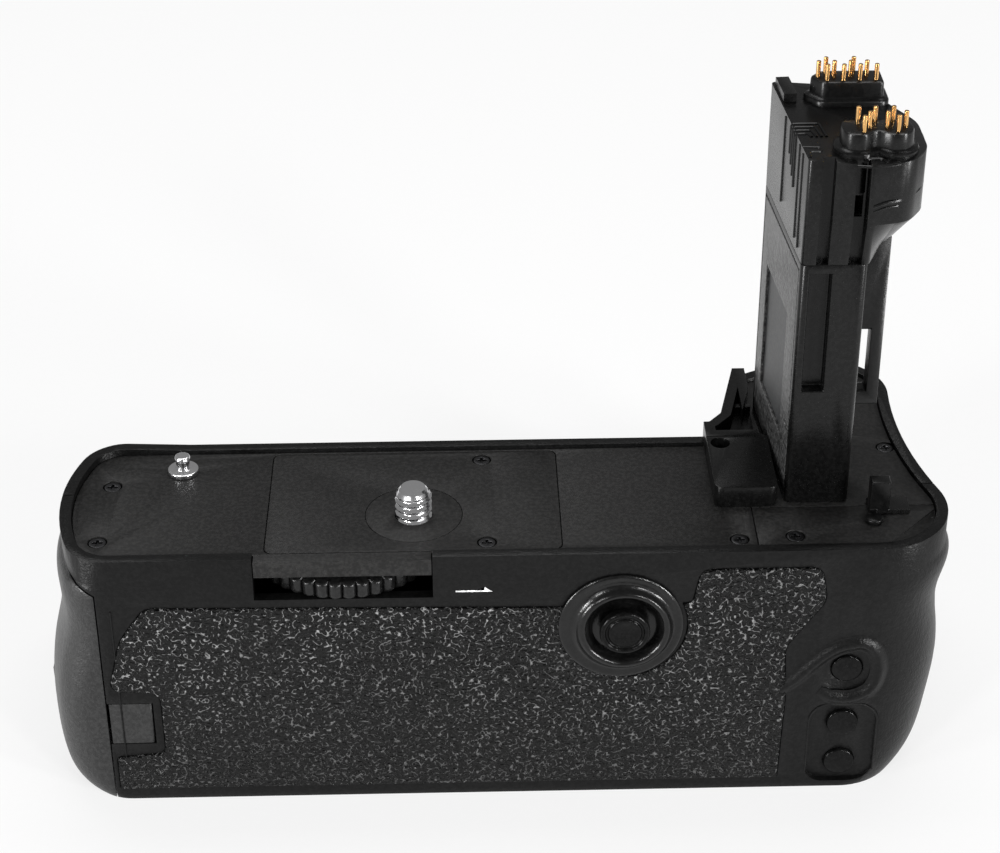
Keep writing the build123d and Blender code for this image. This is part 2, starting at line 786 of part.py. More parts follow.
def front_shell(shell):
    """Front half of the casing with the handle, its skin recess and the end controls' openings."""
    front = shell & half_space(split_y + seam, deepest + overrun)
    outer = envelope(wall / 2, seat_z)
    for piece in [lever_boss()] + end_posts():
        front = front + (piece & outer)
    front = front - (front_skin_space(skin_gap) - bulge(skin_thickness - skin_rise))
    end = right_reach + rim_height + overrun
    inside = end_inner_x - running_gap
    front = front - rod_x(shutter_y, shutter_z, inside, end, shutter_radius + button_gap)
    front = front - rod_x(function_y, function_z, inside, end, button_radius + button_gap)
    half_slot = wheel_width / 2 + wheel_gap
    front = front - rod_z(wheel_x, wheel_y, wheel_z - half_slot, wheel_z + half_slot, wheel_radius + wheel_gap)
    front = front - rod_z(wheel_x, wheel_y, wheel_z - half_slot - wheel_bracket, wheel_z + half_slot + wheel_bracket,
                          wheel_axle_radius + fixed_gap)
    front = front - rod_y(lever_x, lever_z, lever_y, deepest + overrun, lever_radius + plate_gap)
    return front - rod_y(lever_x, lever_z, lever_y - lever_boss_depth - overrun, lever_y,
                         lever_shaft_radius + running_gap)


def head_cut(place):
    """Recess and hole for one top screw."""
    x, y = place
    recess = rod_z(x, y, head_low, seat_z + overrun, head_radius + head_clear)
    return recess + rod_z(x, y, shank_low, seat_z, shank_radius + shank_clear)


def plates_solid():
    """All top plates as one slab, with the tongue that covers the dial's notch and its lip."""
    slab = along_z(plan_face(wall + plate_gap), plate_low, seat_z)
    near = face_y + lip_set
    cover_x = (notch[0] + plate_gap, notch[1] - plate_gap)
    cover = block(cover_x, (near, face_y + wall + 2 * plate_gap), (plate_low, seat_z))
    lip = block(cover_x, (near, near + lip_thickness), (seat_z - lip_height, seat_z))
    slab = slab + cover + lip
    for place in screw_heads:
        slab = slab - head_cut(place)
    return slab


def panel_face(grow):
    """Outline of the centre panel."""
    low, high = -panel_near - grow, panel_far + grow
    half = panel_half + grow
    return rounded(((-half, low), (half, low), (half, high), (-half, high)), (panel_corner,) * len(button_zs + (0,)))


def top_plate(slab):
    """Main plate that the camera rests on, with openings for the collar, dial axle and pins."""
    plate = slab & block((-left_reach, corner_seam_x - plate_gap / 2), (face_y, front_depth + overrun),
                         (notch_low, seat_z))
    plate = plate - along_z(panel_face(plate_gap), seat_z - panel_thickness, seat_z + overrun)
    plate = plate - rod_z(0, 0, notch_low, seat_z + overrun, collar_radius - collar_step + collar_gap)
    plate = plate - rod_z(*guide, notch_low, seat_z + overrun, guide_pin_radius + fixed_gap)
    plate = plate - rod_z(*idler_place(), notch_low, seat_z, idler_axle_radius + fixed_gap)
    return plate


def centre_panel():
    """Thin panel let into the middle of the top plate round the collar."""
    panel = along_z(panel_face(0), seat_z - panel_thickness, seat_z)
    panel = panel - rod_z(0, 0, plate_low, seat_z + overrun, collar_radius + collar_gap)
    for place in screw_heads:
        panel = panel - head_cut(place)
    return panel


def corner_plate(slab):
    """Plate at the rear right corner of the top."""
    return slab & block((corner_seam_x + plate_gap / 2, right_reach), (face_y, corner_seam_y - plate_gap / 2),
                        (plate_low, seat_z))


def grip_plate(slab):
    """Plate under the tower, out to the rounded lobe."""
    return slab & block((corner_seam_x + plate_gap / 2, right_reach), (corner_seam_y + plate_gap / 2, deepest),
                        (plate_low, seat_z))


def cross_screw(x, y, top, length):
    """A small screw with a cross recess, its head uppermost."""
    low = top - head_height
    screw = rod_z(x, y, low, top, head_radius) + rod_z(x, y, low - length, low, shank_radius)
    for width, depth in ((cross_length, cross_width), (cross_width, cross_length)):
        screw = screw - block((x - width / 2, x + width / 2), (y - depth / 2, y + depth / 2),
                              (top - cross_depth, top + overrun))
    return screw


def top_screws():
    """The seven screws that hold the top plates."""
    return group([cross_screw(x, y, seat_z - head_sink, shank_length) for x, y in screw_heads])


def screw_collar():
    """Bright collar round the camera screw, stepped into the plate."""
    collar = rod_z(0, 0, seat_z - panel_thickness, seat_z, collar_radius)
    collar = collar + rod_z(0, 0, plate_low, seat_z - panel_thickness, collar_radius - collar_step)
    return collar - rod_z(0, 0, plate_low - overrun, seat_z + overrun, screw_radius + running_gap)


def camera_screw():
    """The screw that enters the camera, with its shank through the gear below."""
    shoulder = gear_top + running_gap
    shaft_top = seat_z + screw_height - screw_tip_height
    screw = rod_z(0, 0, seat_z, shaft_top, screw_radius) + rod_z(0, 0, shoulder, seat_z, screw_neck_radius)
    screw = screw + Pos(0, 0, shaft_top + screw_tip_height / 2) * Cone(screw_radius, screw_tip_radius, screw_tip_height)
    return screw + rod_z(0, 0, gear_low - running_gap - clip_thickness, shoulder, screw_shank_radius)


def screw_clip():
    """Retaining clip under the screw's gear."""
    high = gear_low - running_gap
    ring = rod_z(0, 0, high - clip_thickness, high, clip_radius)
    return ring - rod_z(0, 0, high - overrun, high + overrun, screw_shank_radius + fixed_gap)


def involute_angle(angle):
    """Roll angle of an involute at a pressure angle."""
    return math.tan(angle) - angle


def gear_face(teeth, turn):
    """Outline of an involute gear, with one tooth at the angle turn and play between the teeth."""
    pressure = pressure_angle_share * math.pi
    pitch = gear_module * teeth / 2
    base = pitch * math.cos(pressure)
    tip = pitch + addendum_share * gear_module
    root = pitch - dedendum_share * gear_module
    half = math.pi / (2 * teeth) - backlash / (4 * pitch) + involute_angle(pressure)
    start = max(base, root)
    radii = [start + (tip - start) * step / flank_steps for step in range(flank_steps + 1)]
    widths = [half - involute_angle(math.acos(min(1, base / radius))) for radius in radii]
    flank = [(root, widths[0])] + list(zip(radii, widths))
    points = []
    for tooth in range(teeth):
        middle = turn + 2 * math.pi * tooth / teeth
        points += [(radius * math.cos(middle - width), radius * math.sin(middle - width)) for radius, width in flank]
        points += [(radius * math.cos(middle + width), radius * math.sin(middle + width))
                   for radius, width in reversed(flank)]
    return make_face(Polyline(*points, close=True))


def idler_place():
    """Centre of the idler, in mesh with both the dial's gear and the screw's gear."""
    to_dial = gear_module * (dial_gear_teeth + idler_teeth) / 2
    to_screw = gear_module * (idler_teeth + screw_gear_teeth) / 2
    span = math.hypot(dial_x, dial_y)
    along = (to_dial ** 2 - to_screw ** 2 + span ** 2) / (2 * span)
    aside = math.sqrt(to_dial ** 2 - along ** 2)
    ahead_x, ahead_y = -dial_x / span, -dial_y / span
    return (dial_x + along * ahead_x - aside * ahead_y, dial_y + along * ahead_y + aside * ahead_x)


def gear_turns():
    """Angles of the first tooth of the three gears, so that their teeth mesh at rest."""
    x, y = idler_place()
    from_dial = math.atan2(y - dial_y, x - dial_x)
    to_screw = math.atan2(-y, -x)
    pitch_angle = 2 * math.pi / idler_teeth
    idler_turn = from_dial + math.pi + pitch_angle / 2
    nearest = idler_turn + pitch_angle * round((to_screw - idler_turn) / pitch_angle)
    gap = to_screw + math.pi - (nearest - to_screw) * idler_teeth / screw_gear_teeth
    return from_dial, idler_turn, gap + math.pi / screw_gear_teeth


def screw_gear():
    """Gear pressed on the camera screw."""
    gear = along_z(gear_face(screw_gear_teeth, gear_turns()[2]), gear_low, gear_top)
    return gear - rod_z(0, 0, gear_low - overrun, gear_top + overrun, screw_shank_radius + fixed_gap)


def idler_gear():
    """Gear between the dial and the screw."""
    gear = along_z(gear_face(idler_teeth, gear_turns()[1]), gear_low, gear_top)
    bore = rod_z(0, 0, gear_low - overrun, gear_top + overrun, idler_axle_radius + running_gap)
    return Pos(*idler_place(), 0) * (gear - bore)


def idler_axle():
    """Headed pin that hangs from the top plate and carries the idler."""
    x, y = idler_place()
    high = gear_low - running_gap
    head = rod_z(x, y, high - clip_thickness, high, idler_head_radius)
    return head + rod_z(x, y, high, seat_z - panel_thickness - fixed_gap, idler_axle_radius)


def dial_face():
    """Outline of the attachment dial with its rounded teeth."""
    step = 2 * math.pi / dial_teeth
    points = []
    for tooth in range(dial_teeth):
        middle = tooth * step
        inner, outer = dial_radius - dial_tooth_depth, dial_radius
        flat = step * dial_tooth_flat_share
        for turn, radius in ((-flat, inner), (-flat / 2, outer), (flat / 2, outer), (flat, inner)):
            points.append((radius * math.cos(middle + turn), radius * math.sin(middle + turn)))
    return make_face(Polyline(*points, close=True))


def attachment_dial():
    """Toothed dial turned by the thumb, with the first gear on its hub."""
    dial = along_z(dial_face(), dial_low, dial_top)
    dial = dial + rod_z(0, 0, bracket_top + running_gap, dial_low, dial_hub_radius)
    dial = dial + along_z(gear_face(dial_gear_teeth, gear_turns()[0]), dial_top, gear_top)
    bore = rod_z(0, 0, bracket_top, gear_top + overrun, axle_radius + running_gap)
    return Pos(dial_x, dial_y, 0) * (dial - bore)


def dial_axle():
    """Pin that the attachment dial turns on."""
    return rod_z(dial_x, dial_y, bracket_low, plate_low, axle_radius)


def gear_bracket():
    """Strip under the dial that carries its axle, hung from the top plate on two posts."""
    half = bracket_width / 2
    strip = block(bracket_reach, (dial_y - half, dial_y + half), (bracket_low, bracket_top))
    for x in (bracket_reach[0] + post_radius, bracket_reach[1] - post_radius):
        strip = strip + rod_z(x, dial_y, bracket_low, plate_low, post_radius)
    return strip - rod_z(dial_x, dial_y, bracket_low - overrun, bracket_top + overrun, axle_radius + fixed_gap)


def guide_pin():
    """Pin beside the camera screw that keeps the camera square."""
    x, y = guide
    shaft = rod_z(x, y, seat_z - guide_root, seat_z + guide_pin_height, guide_pin_radius)
    shaft = fillet(shaft.edges().sort_by(Axis.Z)[-1], guide_tip_round)
    return shaft + rod_z(x, y, seat_z, seat_z + guide_flange_height, guide_flange_radius)


def door_holder():
    """Block and walled pocket that hold the camera's own battery door."""
    low_x, high_x = holder_x
    low_y, high_y = holder_y
    corners = ((low_x, low_y), (high_x, low_y), (high_x, high_y), (low_x, high_y))
    base = along_z(rounded(corners, (holder_round,) * len(corners)), seat_z, seat_z + holder_height)
    base = base - rod_z(*holder_hole, seat_z + holder_height - holder_hole_depth, seat_z + holder_height + overrun,
                        holder_hole_radius)
    middle = ((low_x + pocket_right) / 2, (high_y + pocket_far) / 2)
    span = Pos(*middle) * Rectangle(pocket_right - low_x, pocket_far - high_y + pocket_wall)
    region = plan_face(pocket_inset) & span
    room = offset(region, amount=-pocket_wall)
    room = room + Pos(pocket_wall, 0) * room
    walls = along_z(region, seat_z + rim_height + fixed_gap, seat_z + pocket_height)
    walls = walls + along_z(plan_face(wall + plate_gap) & span, seat_z, seat_z + pocket_sill)
    walls = walls - along_z(room, seat_z + pocket_sill, seat_z + 2 * pocket_height)
    rib = block((low_x, pocket_right), pocket_rib, (seat_z, seat_z + pocket_rib_height))
    walls = walls + (rib & along_z(region, seat_z + pocket_sill / 2, seat_z + pocket_height))
    return base + walls


def hook_post():
    """Small upright post with its foot on the corner plate."""
    post = block(hook_x, hook_y, (seat_z, seat_z + hook_height))
    foot = block((hook_x[0], hook_foot_right), (hook_y[0], hook_foot_far), (seat_z, seat_z + hook_plate))
    boss = rod_z(*hook_foot, seat_z, seat_z + hook_plate, hook_foot_radius)
    bridge = block((hook_x[0], hook_foot[0] + hook_foot_radius / 2), (hook_foot[1], hook_y[0]),
                   (seat_z, seat_z + hook_plate))
    return joined([post, foot, boss, bridge])


def tower_points(inset, side_inset):
    """Corners of the tower's column seen from above."""
    lean = tower_lean_share * (tower_far - tower_near)
    left, right = tower_left + side_inset, tower_right - inset
    near, far = tower_near + inset, tower_far - inset
    return ((left, near), (right, near), (right, far), (left - lean, far))


def on_side(y_range, z_range, low, high):
    """A block let into the tower's slanting left face, from one depth to another."""
    piece = block((low, high), (y_range[0] - tower_near, y_range[1] - tower_near), z_range)
    return Pos(tower_left, tower_near, seat_z) * Rot(0, 0, math.degrees(math.atan(tower_lean_share))) * piece


def tower_column():
    """Lower part of the contact tower, with the fin that stands out to its right."""
    top = seat_z + tower_split
    outline = rounded(tower_points(0, 0), (tower_round,) * len(groove_x + groove_z))
    column = along_z(outline, seat_z, top)
    inner_points = tower_points(tower_wall, tower_side_wall)
    fin = block((tower_right - tower_wall, fin_right), fin_y, (seat_z + fin_low, top))
    fin = fin - block(slot_x, (fin_y[0] - overrun, fin_y[1] + overrun), (seat_z + slot_z[0], seat_z + slot_z[1]))
    column = column + fin
    hollow = along_z(make_face(Polyline(*inner_points, close=True)), seat_z - overrun, top + overrun)
    hollow = hollow & block((tower_left - tower_wall, tower_right), (tower_near + groove_depth + tower_wall, tower_far),
                            (seat_z - overrun, top + overrun))
    column = column - hollow
    column = column - block(groove_x, (tower_near - overrun, tower_near + groove_depth),
                            (seat_z + groove_z[0], seat_z + groove_z[1]))
    return column - on_side(*side_panel_span(plate_gap), -overrun, side_panel_thickness)


def side_panel_span(grow):
    """Extent of the tower's side panel along the face and up it."""
    return ((tower_near + panel_margin - grow, tower_far - panel_margin + grow),
            (panel_margin - grow, tower_split - panel_margin + grow))


def tower_side_panel():
    """Textured panel on the tower's left face, with a shallow bed for the label."""
    panel = on_side(*side_panel_span(0), 0, side_panel_thickness)
    return panel - on_side(label_y, label_z, -overrun, label_sink + label_thickness)


def tower_label():
    """Plain label sunk in the side panel."""
    inner_y = (label_y[0] + plate_gap, label_y[1] - plate_gap)
    inner_z = (label_z[0] + plate_gap, label_z[1] - plate_gap)
    return on_side(inner_y, inner_z, label_sink, label_sink + label_thickness)


def head_points():
    """Corners of the tower's head seen from above."""
    lean = tower_lean_share * (tower_far - tower_near)
    return ((tower_left, tower_near), head_near_right, head_near_corner, (head_right, head_right_y[0]),
            (head_right, head_right_y[1]), head_far_right, (tower_left - lean, tower_far))


def neck_points():
    """Corners of the underside of the head, where it meets the column and its fin."""
    lean = tower_lean_share * (tower_far - tower_near)
    return ((tower_left, tower_near), (tower_right, tower_near), (tower_right + neck_margin, fin_y[0] - neck_margin),
            (fin_right, fin_y[0]), (fin_right, fin_y[1]), (tower_right, tower_far), (tower_left - lean, tower_far))


def tower_head():
    """Upper part of the tower, hollow, with openings for the two connector blocks."""
    split, band, top = seat_z + tower_split, seat_z + head_band_top, seat_z + tower_top
    radii = (tower_round,) * len(head_points())
    full = rounded(head_points(), head_rounds)
    neck = rounded(neck_points(), radii)
    head = loft([Pos(0, 0, split) * neck, Pos(0, 0, band) * full], ruled=True) + along_z(full, band, top)
    inner = along_z(offset(full, amount=-tower_wall), band, top - tower_wall)
    inner = inner & block((tower_left - tower_round, right_reach),
                          (tower_near + prong_depth + tower_wall - neck_margin / 2, tower_far), (split, top))
    passage = along_z(make_face(Polyline(*tower_points(tower_wall, tower_side_wall), close=True)), split - overrun, top - tower_wall)
    passage = passage & block((tower_left - tower_round, tower_right),
                              (tower_near + groove_depth + tower_wall, tower_far), (split - overrun, top))
    head = head - inner - passage
    for left, right in prong_grooves:
        near = head_near_right[1] - overrun
        head = head - block((left, right), (near, tower_near + prong_depth / 2), (split - overrun, top + overrun))
    head = head - along_z(block_one_face(block_gap), band, top + overrun)
    head = head - along_z(block_two_face(block_gap), band, top + overrun)
    tab = on_side(head_tab_y, (tower_top - tower_wall, tower_top + head_tab_height), *head_tab_x)
    return head + tab


def block_one_face(grow):
    """Outline of the larger connector block."""
    face = make_face(Polyline(*block_one, close=True))
    return offset(face, amount=grow) if grow else face


def block_two_face(grow):
    """Outline of the smaller connector block: two round lobes in front of a straight back."""
    radius = block_two_radius + grow
    left, right = block_two_left, block_two_right
    low, high = min(left[1], right[1]) - radius, block_two_back + grow
    face = Pos(*left) * Circle(radius) + Pos(*right) * Circle(radius)
    width = right[0] - left[0]
    middle = (right[0] + left[0]) / 2
    face = face + Pos(middle, (left[1] + low + radius / 2) / 2) * Rectangle(width, left[1] - low - radius / 2)
    back = high - left[1]
    return face + Pos(middle, left[1] + back / 2) * Rectangle(width + 2 * radius, back)


def pin_places(rows):
    """Every contact place in the rows of one block."""
    return [(x, y) for y, places in rows for x in places]


def connector_block(face, rows):
    """One connector block, standing on the tower's board and rising through the head."""
    body = along_z(face, tower_board_z, seat_z + tower_top + block_rise)
    for x, y in pin_places(rows):
        body = body - rod_z(x, y, tower_board_z - overrun, seat_z + tower_top + 2 * block_rise, pin_radius + fixed_gap)
    return body


def contact_pins(rows):
    """The contacts of one block, from the board up past the block's top."""
    top = seat_z + tower_top + block_rise + pin_height
    return group([rod_z(x, y, tower_board_z, top, pin_radius) for x, y in pin_places(rows)])


def tower_board():
    """Board inside the head that carries both connector blocks."""
    full = make_face(Polyline(*head_points(), close=True))
    shape = along_z(offset(full, amount=-tower_wall - plate_gap), tower_board_z - board_thickness, tower_board_z)
    near = tower_near + prong_depth + tower_wall - neck_margin / 2 + plate_gap
    return shape & block((tower_left - tower_round, right_reach), (near, tower_far), (seat_z, seat_z + tower_top))


def cone_y(x, z, low, high, low_radius, high_radius):
    """A tapered round along Y."""
    return Pos(x, (low + high) / 2, z) * Rot(-90, 0, 0) * Cone(low_radius, high_radius, high - low)


def joystick_bezel():
    """Raised ring round the joystick with a sleeve in the rear shell."""
    floor = face_y + cup_floor
    bezel = cone_y(stick_x, stick_z, face_y - mound_height, face_y, ring_radius, mound_radius)
    bezel = bezel + rod_y(stick_x, stick_z, face_y, face_y + wall, mound_sleeve)
    bezel = bezel - rod_y(stick_x, stick_z, face_y - overrun, floor, cup_radius)
    return bezel - rod_y(stick_x, stick_z, face_y - overrun, face_y + wall + overrun, stick_hole)


def joystick_cap():
    """The stick: a dished cap, its stem and the hub on its pivot pins."""
    top = face_y - cap_rise
    cap = rod_y(stick_x, stick_z, top, top + cap_height, cap_radius)
    ball = (dish_radius ** 2 + dish_depth ** 2) / (2 * dish_depth)
    cap = cap - Pos(stick_x, top + dish_depth - ball, stick_z) * Sphere(ball)
    stem = rod_y(stick_x, stick_z, top + cap_height / 2, pivot_y - ring_half - running_gap, stem_radius)
    hub = rod_y(stick_x, stick_z, pivot_y - ring_half - running_gap, pivot_y + ring_half, stick_hub)
    pins = rod_z(stick_x, pivot_y, stick_z - ring_outer + running_gap, stick_z + ring_outer - running_gap,
                 pivot_pin_radius)
    return joined([cap, stem, hub, pins])


def joystick_ring():
    """Gimbal ring between the stick and its carrier."""
    ring = rod_y(stick_x, stick_z, pivot_y - ring_half, pivot_y + ring_half, ring_outer)
    pins = Pos(stick_x, pivot_y, stick_z) * Rot(0, 90, 0) * Cylinder(pivot_pin_radius, 2 * (carrier_outer - running_gap))
    ring = ring + pins
    ring = ring - rod_y(stick_x, stick_z, pivot_y - 2 * ring_half, pivot_y + 2 * ring_half, ring_inner)
    return ring - rod_z(stick_x, pivot_y, stick_z - carrier_inner, stick_z + carrier_inner,
                        pivot_pin_radius + running_gap)


def joystick_carrier():
    """Sliding collar that lets the whole stick be pressed in."""
    low, high = pivot_y - carrier_half, pivot_y + carrier_half
    collar = rod_y(stick_x, stick_z, low, high, carrier_outer)
    collar = collar - rod_y(stick_x, stick_z, low - overrun, high + overrun, carrier_inner)
    hole = Pos(stick_x, pivot_y, stick_z) * Rot(0, 90, 0) * Cylinder(pivot_pin_radius + running_gap, 3 * carrier_outer)
    return collar - hole


def joystick_housing():
    """Cup behind the rear shell in which the carrier slides."""
    start, floor = face_y + wall, housing_end_y
    cup = rod_y(stick_x, stick_z, start, floor + housing_floor, housing_outer)
    return cup - rod_y(stick_x, stick_z, start - overrun, floor, housing_inner)


def rear_button(z):
    """A round rear button with its flange behind the wall and the stem into its switch."""
    top = face_y + panel_dip - button_rise if z < panel_dip_top else face_y + scoop_depth - button_rise
    button = rod_y(button_x, z, top, pad_y + running_gap, button_radius)
    button = button + rod_y(button_x, z, pad_y + running_gap, flange_back_y, button_flange)
    return button + rod_y(button_x, z, flange_back_y, switch_y + stem_engage, stem_small)


def button_board():
    """Board behind the rear buttons with a tact switch for each."""
    board = block((pad_x[0], board_posts[1] + board_post_radius), button_board_y, button_board_z)
    bottom = button_board_y[0]
    for z in button_zs:
        half = switch_half
        board = board + block((button_x - half, button_x + half), (switch_y, bottom),
                              (max(z - half, button_board_z[0]), z + half))
        board = board - rod_y(button_x, z, switch_y - overrun, switch_y + stem_engage + button_travel + travel_margin,
                              stem_small + running_gap)
    return board


def end_button(y, z, radius, flange, rise):
    """A round button in the right end, with its flange and stem."""
    button = rod_x(y, z, end_inner_x - running_gap, right_reach + rise, radius)
    button = button + rod_x(y, z, end_flange_x, end_inner_x - running_gap, flange)
    return button + rod_x(y, z, end_switch_x - stem_engage, end_flange_x, stem_small)


def control_board():
    """Board inside the right end with the switches of its two buttons."""
    board = block(end_board_x, *end_board_low) + block(end_board_x, *end_board_high)
    half = switch_half
    for y, z in ((shutter_y, shutter_z), (function_y, function_z)):
        board = board + block((end_board_x[1], end_switch_x), (y - half, y + half), (z - half, z + half))
        deep = end_switch_x - stem_engage - button_travel - travel_margin
        board = board - rod_x(y, z, deep, end_switch_x + overrun, stem_small + running_gap)
    return board


def main_dial():
    """Toothed wheel that shows through the right end."""
    step = 2 * math.pi / wheel_teeth
    points = []
    for tooth in range(wheel_teeth):
        for share, radius in ((-1, wheel_radius - wheel_tooth_depth), (0, wheel_radius)):
            turn = step * (tooth + share / 2)
            points.append((radius * math.cos(turn), radius * math.sin(turn)))
    wheel = along_z(make_face(Polyline(*points, close=True)), wheel_z - wheel_width / 2, wheel_z + wheel_width / 2)
    wheel = Pos(wheel_x, wheel_y, 0) * wheel
    return wheel - rod_z(wheel_x, wheel_y, wheel_z - wheel_width, wheel_z + wheel_width, wheel_axle_radius + running_gap)


def main_dial_axle():
    """Pin of the main dial, held in its two brackets."""
    reach = wheel_width / 2 + wheel_gap + wheel_bracket
    return rod_z(wheel_x, wheel_y, wheel_z - reach, wheel_z + reach, wheel_axle_radius)


def power_lever():
    """On and off lever round its shaft in the front of the handle."""
    face = lever_face + lever_lift
    lever = rod_y(lever_x, lever_z, lever_y + running_gap, face + lever_rise, lever_radius)
    tab = block((lever_x, lever_x + lever_tab), (face, face + lever_rise),
                (lever_z - lever_tab_width / 2, lever_z + lever_tab_width / 2))
    shaft = rod_y(lever_x, lever_z, lever_y - lever_boss_depth - running_gap, lever_y + running_gap, lever_shaft_radius)
    return joined([lever, tab, shaft])


def main_board():
    """Circuit board above the battery bay."""
    return block(main_board_x, main_board_y, main_board_z)


def battery_bay():
    """Long sleeve inside the body that the magazine slides into."""
    bay = block(bay_x, bay_y, bay_z)
    room = (bay_z[0] + bay_wall, bay_z[1] - bay_wall)
    bay = bay - block((bay_x[0] - overrun, bay_x[1] - bay_wall), (bay_y[0] + bay_wall, bay_y[1] - bay_wall), room)
    for x in (main_board_x[0] + board_post_inset, main_board_x[1] - board_post_inset):
        for y in (main_board_y[0] + board_post_inset, main_board_y[1] - board_post_inset):
            bay = bay + rod_z(x, y, bay_z[1] - bay_wall / 2, main_board_z[0], board_post_radius)
    for place in contact_spans(bay_x[1] - bay_wall):
        bay = bay - block((bay_x[1] - bay_wall - overrun, bay_x[1] + overrun), *place)
    return bay - cord_hole()


def contact_spans(x):
    """Extents in y and z of the blades of one set of contacts."""
    middle_y = (tray_y[0] + tray_y[1]) / 2
    middle_z = (tray_z[0] + tray_z[1]) / 2
    spans = []
    for index in range(contact_count):
        y = middle_y + contact_pitch * (index - (contact_count - 1) / 2)
        spans.append(((y - contact_width / 2, y + contact_width / 2),
                      (middle_z - contact_height / 2, middle_z + contact_height / 2)))
    return spans


def bay_contacts():
    """Contacts at the inner end of the bay."""
    end = bay_x[1] - bay_wall
    return group([block((end, bay_x[1]), *place) for place in contact_spans(end)])


def magazine_tray():
    """Open tray with two places for batteries, end to end."""
    tray = block(tray_x, tray_y, tray_z)
    width = (tray_y[0] + tray_wall, tray_y[1] - tray_wall)
    depth = (tray_z[0] + tray_wall, tray_z[1] + overrun)
    for start in (cell_x, second_cell_x):
        tray = tray - block((start, start + battery_size[0]), width, depth)
    for place in contact_spans(0):
        tray = tray - block((tray_x[1] - tray_wall, tray_x[1] + overrun), *place)
        tray = tray - block((second_cell_x - divider, second_cell_x - divider + contact_thickness), *place)
    for y, z in arm_places():
        tray = tray - rod_x(y, z, tray_x[0] - overrun, tray_x[0] + tray_wall + overrun, shank_radius + shank_clear)
    return tray - cord_hole()


def tray_contacts():
    """Contacts at the inner end of each battery place."""
    pieces = []
    for place in contact_spans(0):
        pieces.append(block((tray_x[1] - tray_wall, tray_x[1]), *place))
        pieces.append(block((second_cell_x - divider, second_cell_x - divider + contact_thickness), *place))
    return group(pieces)


def arm_places():
    """Where the end cap's arms meet the tray."""
    return [(y, z) for y in (arm_near_y, arm_far_y) for z in (arm_low_z, arm_high_z)]


def magazine_cap():
    """End cap of the body, carried on the magazine, with the recess for the release knob."""
    outer = envelope(0, seat_z) & cap_zone(-seam, 0, 0)
    hollow = envelope(cap_wall, seat_z) & cap_zone(-seam, cap_wall, overrun)
    cap = outer - hollow
    recess = knob_radius + knob_recess_gap
    boss_end = knob_floor_x + knob_floor
    cap = cap + (rod_x(knob_y, knob_z, -end_reach, boss_end, recess + knob_boss_wall) & envelope(0, seat_z))
    cap = cap - rod_x(knob_y, knob_z, -end_reach - overrun, knob_floor_x, recess)
    cap = cap - rod_x(knob_y, knob_z, knob_floor_x - overrun, boss_end + overrun, shaft_radius + running_gap)
    for y, z in arm_places():
        arm = rod_x(y, z, -end_reach, tray_x[0], arm_radius) & envelope(cap_wall / 2, seat_z)
        cap = cap + arm
    for y, z in arm_places():
        cap = cap - rod_x(y, z, tray_x[0] - shank_length, tray_x[0], shank_radius + shank_clear)
    return cap


def magazine_screws():
    """Four screws that hold the tray to the end cap's arms."""
    pieces = []
    for y, z in arm_places():
        start = tray_x[0] + tray_wall
        pieces.append(rod_x(y, z, tray_x[0] - shank_length + shank_clear, start, shank_radius))
    return group(pieces)


def release_knob():
    """Turning knob in the end cap, with the shaft that carries the latch tongue."""
    face = knob_floor_x - knob_lift
    knob = rod_x(knob_y, knob_z, face - knob_thickness, face, knob_radius)
    half = knob_bar_width / 2
    reach = knob_radius - half
    bar = block((face - knob_thickness - knob_bar_rise, face - knob_thickness),
                (knob_y - reach, knob_y + reach), (knob_z - half, knob_z + half))
    shaft = rod_x(knob_y, knob_z, face, tongue_x[0], shaft_radius)
    stub = rod_x(knob_y, knob_z, tongue_x[0], tongue_x[1], stub_radius)
    return joined([knob, bar, shaft, stub])


def latch_tongue():
    """Latch that turns up behind the end wall to hold the magazine."""
    half = tongue_width / 2
    tongue = block(tongue_x, (knob_y, knob_y + tongue_reach), (knob_z - half, knob_z + half))
    hub = rod_x(knob_y, knob_z, tongue_x[0], tongue_x[1], shaft_radius + knob_lift)
    return tongue + hub - rod_x(knob_y, knob_z, tongue_x[0] - overrun, tongue_x[1] + overrun, stub_radius + fixed_gap)


def cord_flap():
    """Hinged flap over the cord opening."""
    x, y = flap_axis
    half = flap_thickness / 2
    leaf = block((flap_x[0], x), (y - half, y + half), flap_z)
    leaf = leaf + rod_z(x, y, flap_z[0], flap_z[1], half)
    return leaf - rod_z(x, y, flap_z[0] - overrun, flap_z[1] + overrun, flap_pin_radius + running_gap)


def flap_pin():
    """Hinge pin of the cord flap."""
    return rod_z(*flap_axis, flap_z[0] - flap_pin_reach, flap_z[1] + flap_pin_reach, flap_pin_radius)


def rear_grip_skin():
    """Rubber skin let into the rear face."""
    return along_y(skin_face(0), face_y - skin_rise, face_y + skin_thickness - skin_rise)


def front_grip_skin():
    """Rubber skin round the front of the handle."""
    return (front_skin_space(0) & bulge(-skin_rise)) - bulge(skin_thickness - skin_rise)


def bottom_plate():
    """Cover under the body, with openings for the tripod bush and its screws."""
    plate = along_z(base_face(0), 0, base_thickness)
    plate = plate - rod_z(0, 0, -overrun, base_thickness + overrun, bush_radius + plate_gap)
    for x, y in base_screw_places():
        plate = plate - rod_z(x, y, -overrun, head_height + head_sink, head_radius + head_clear)
        plate = plate - rod_z(x, y, -overrun, base_thickness + overrun, shank_radius + shank_clear)
    return plate


def base_screws():
    """Screws of the bottom cover, their heads downward."""
    pieces = []
    for x, y in base_screw_places():
        low = head_sink
        high = low + head_height
        pieces.append(rod_z(x, y, low, high, head_radius) + rod_z(x, y, high, base_thickness + base_shank, shank_radius))
    return group(pieces)


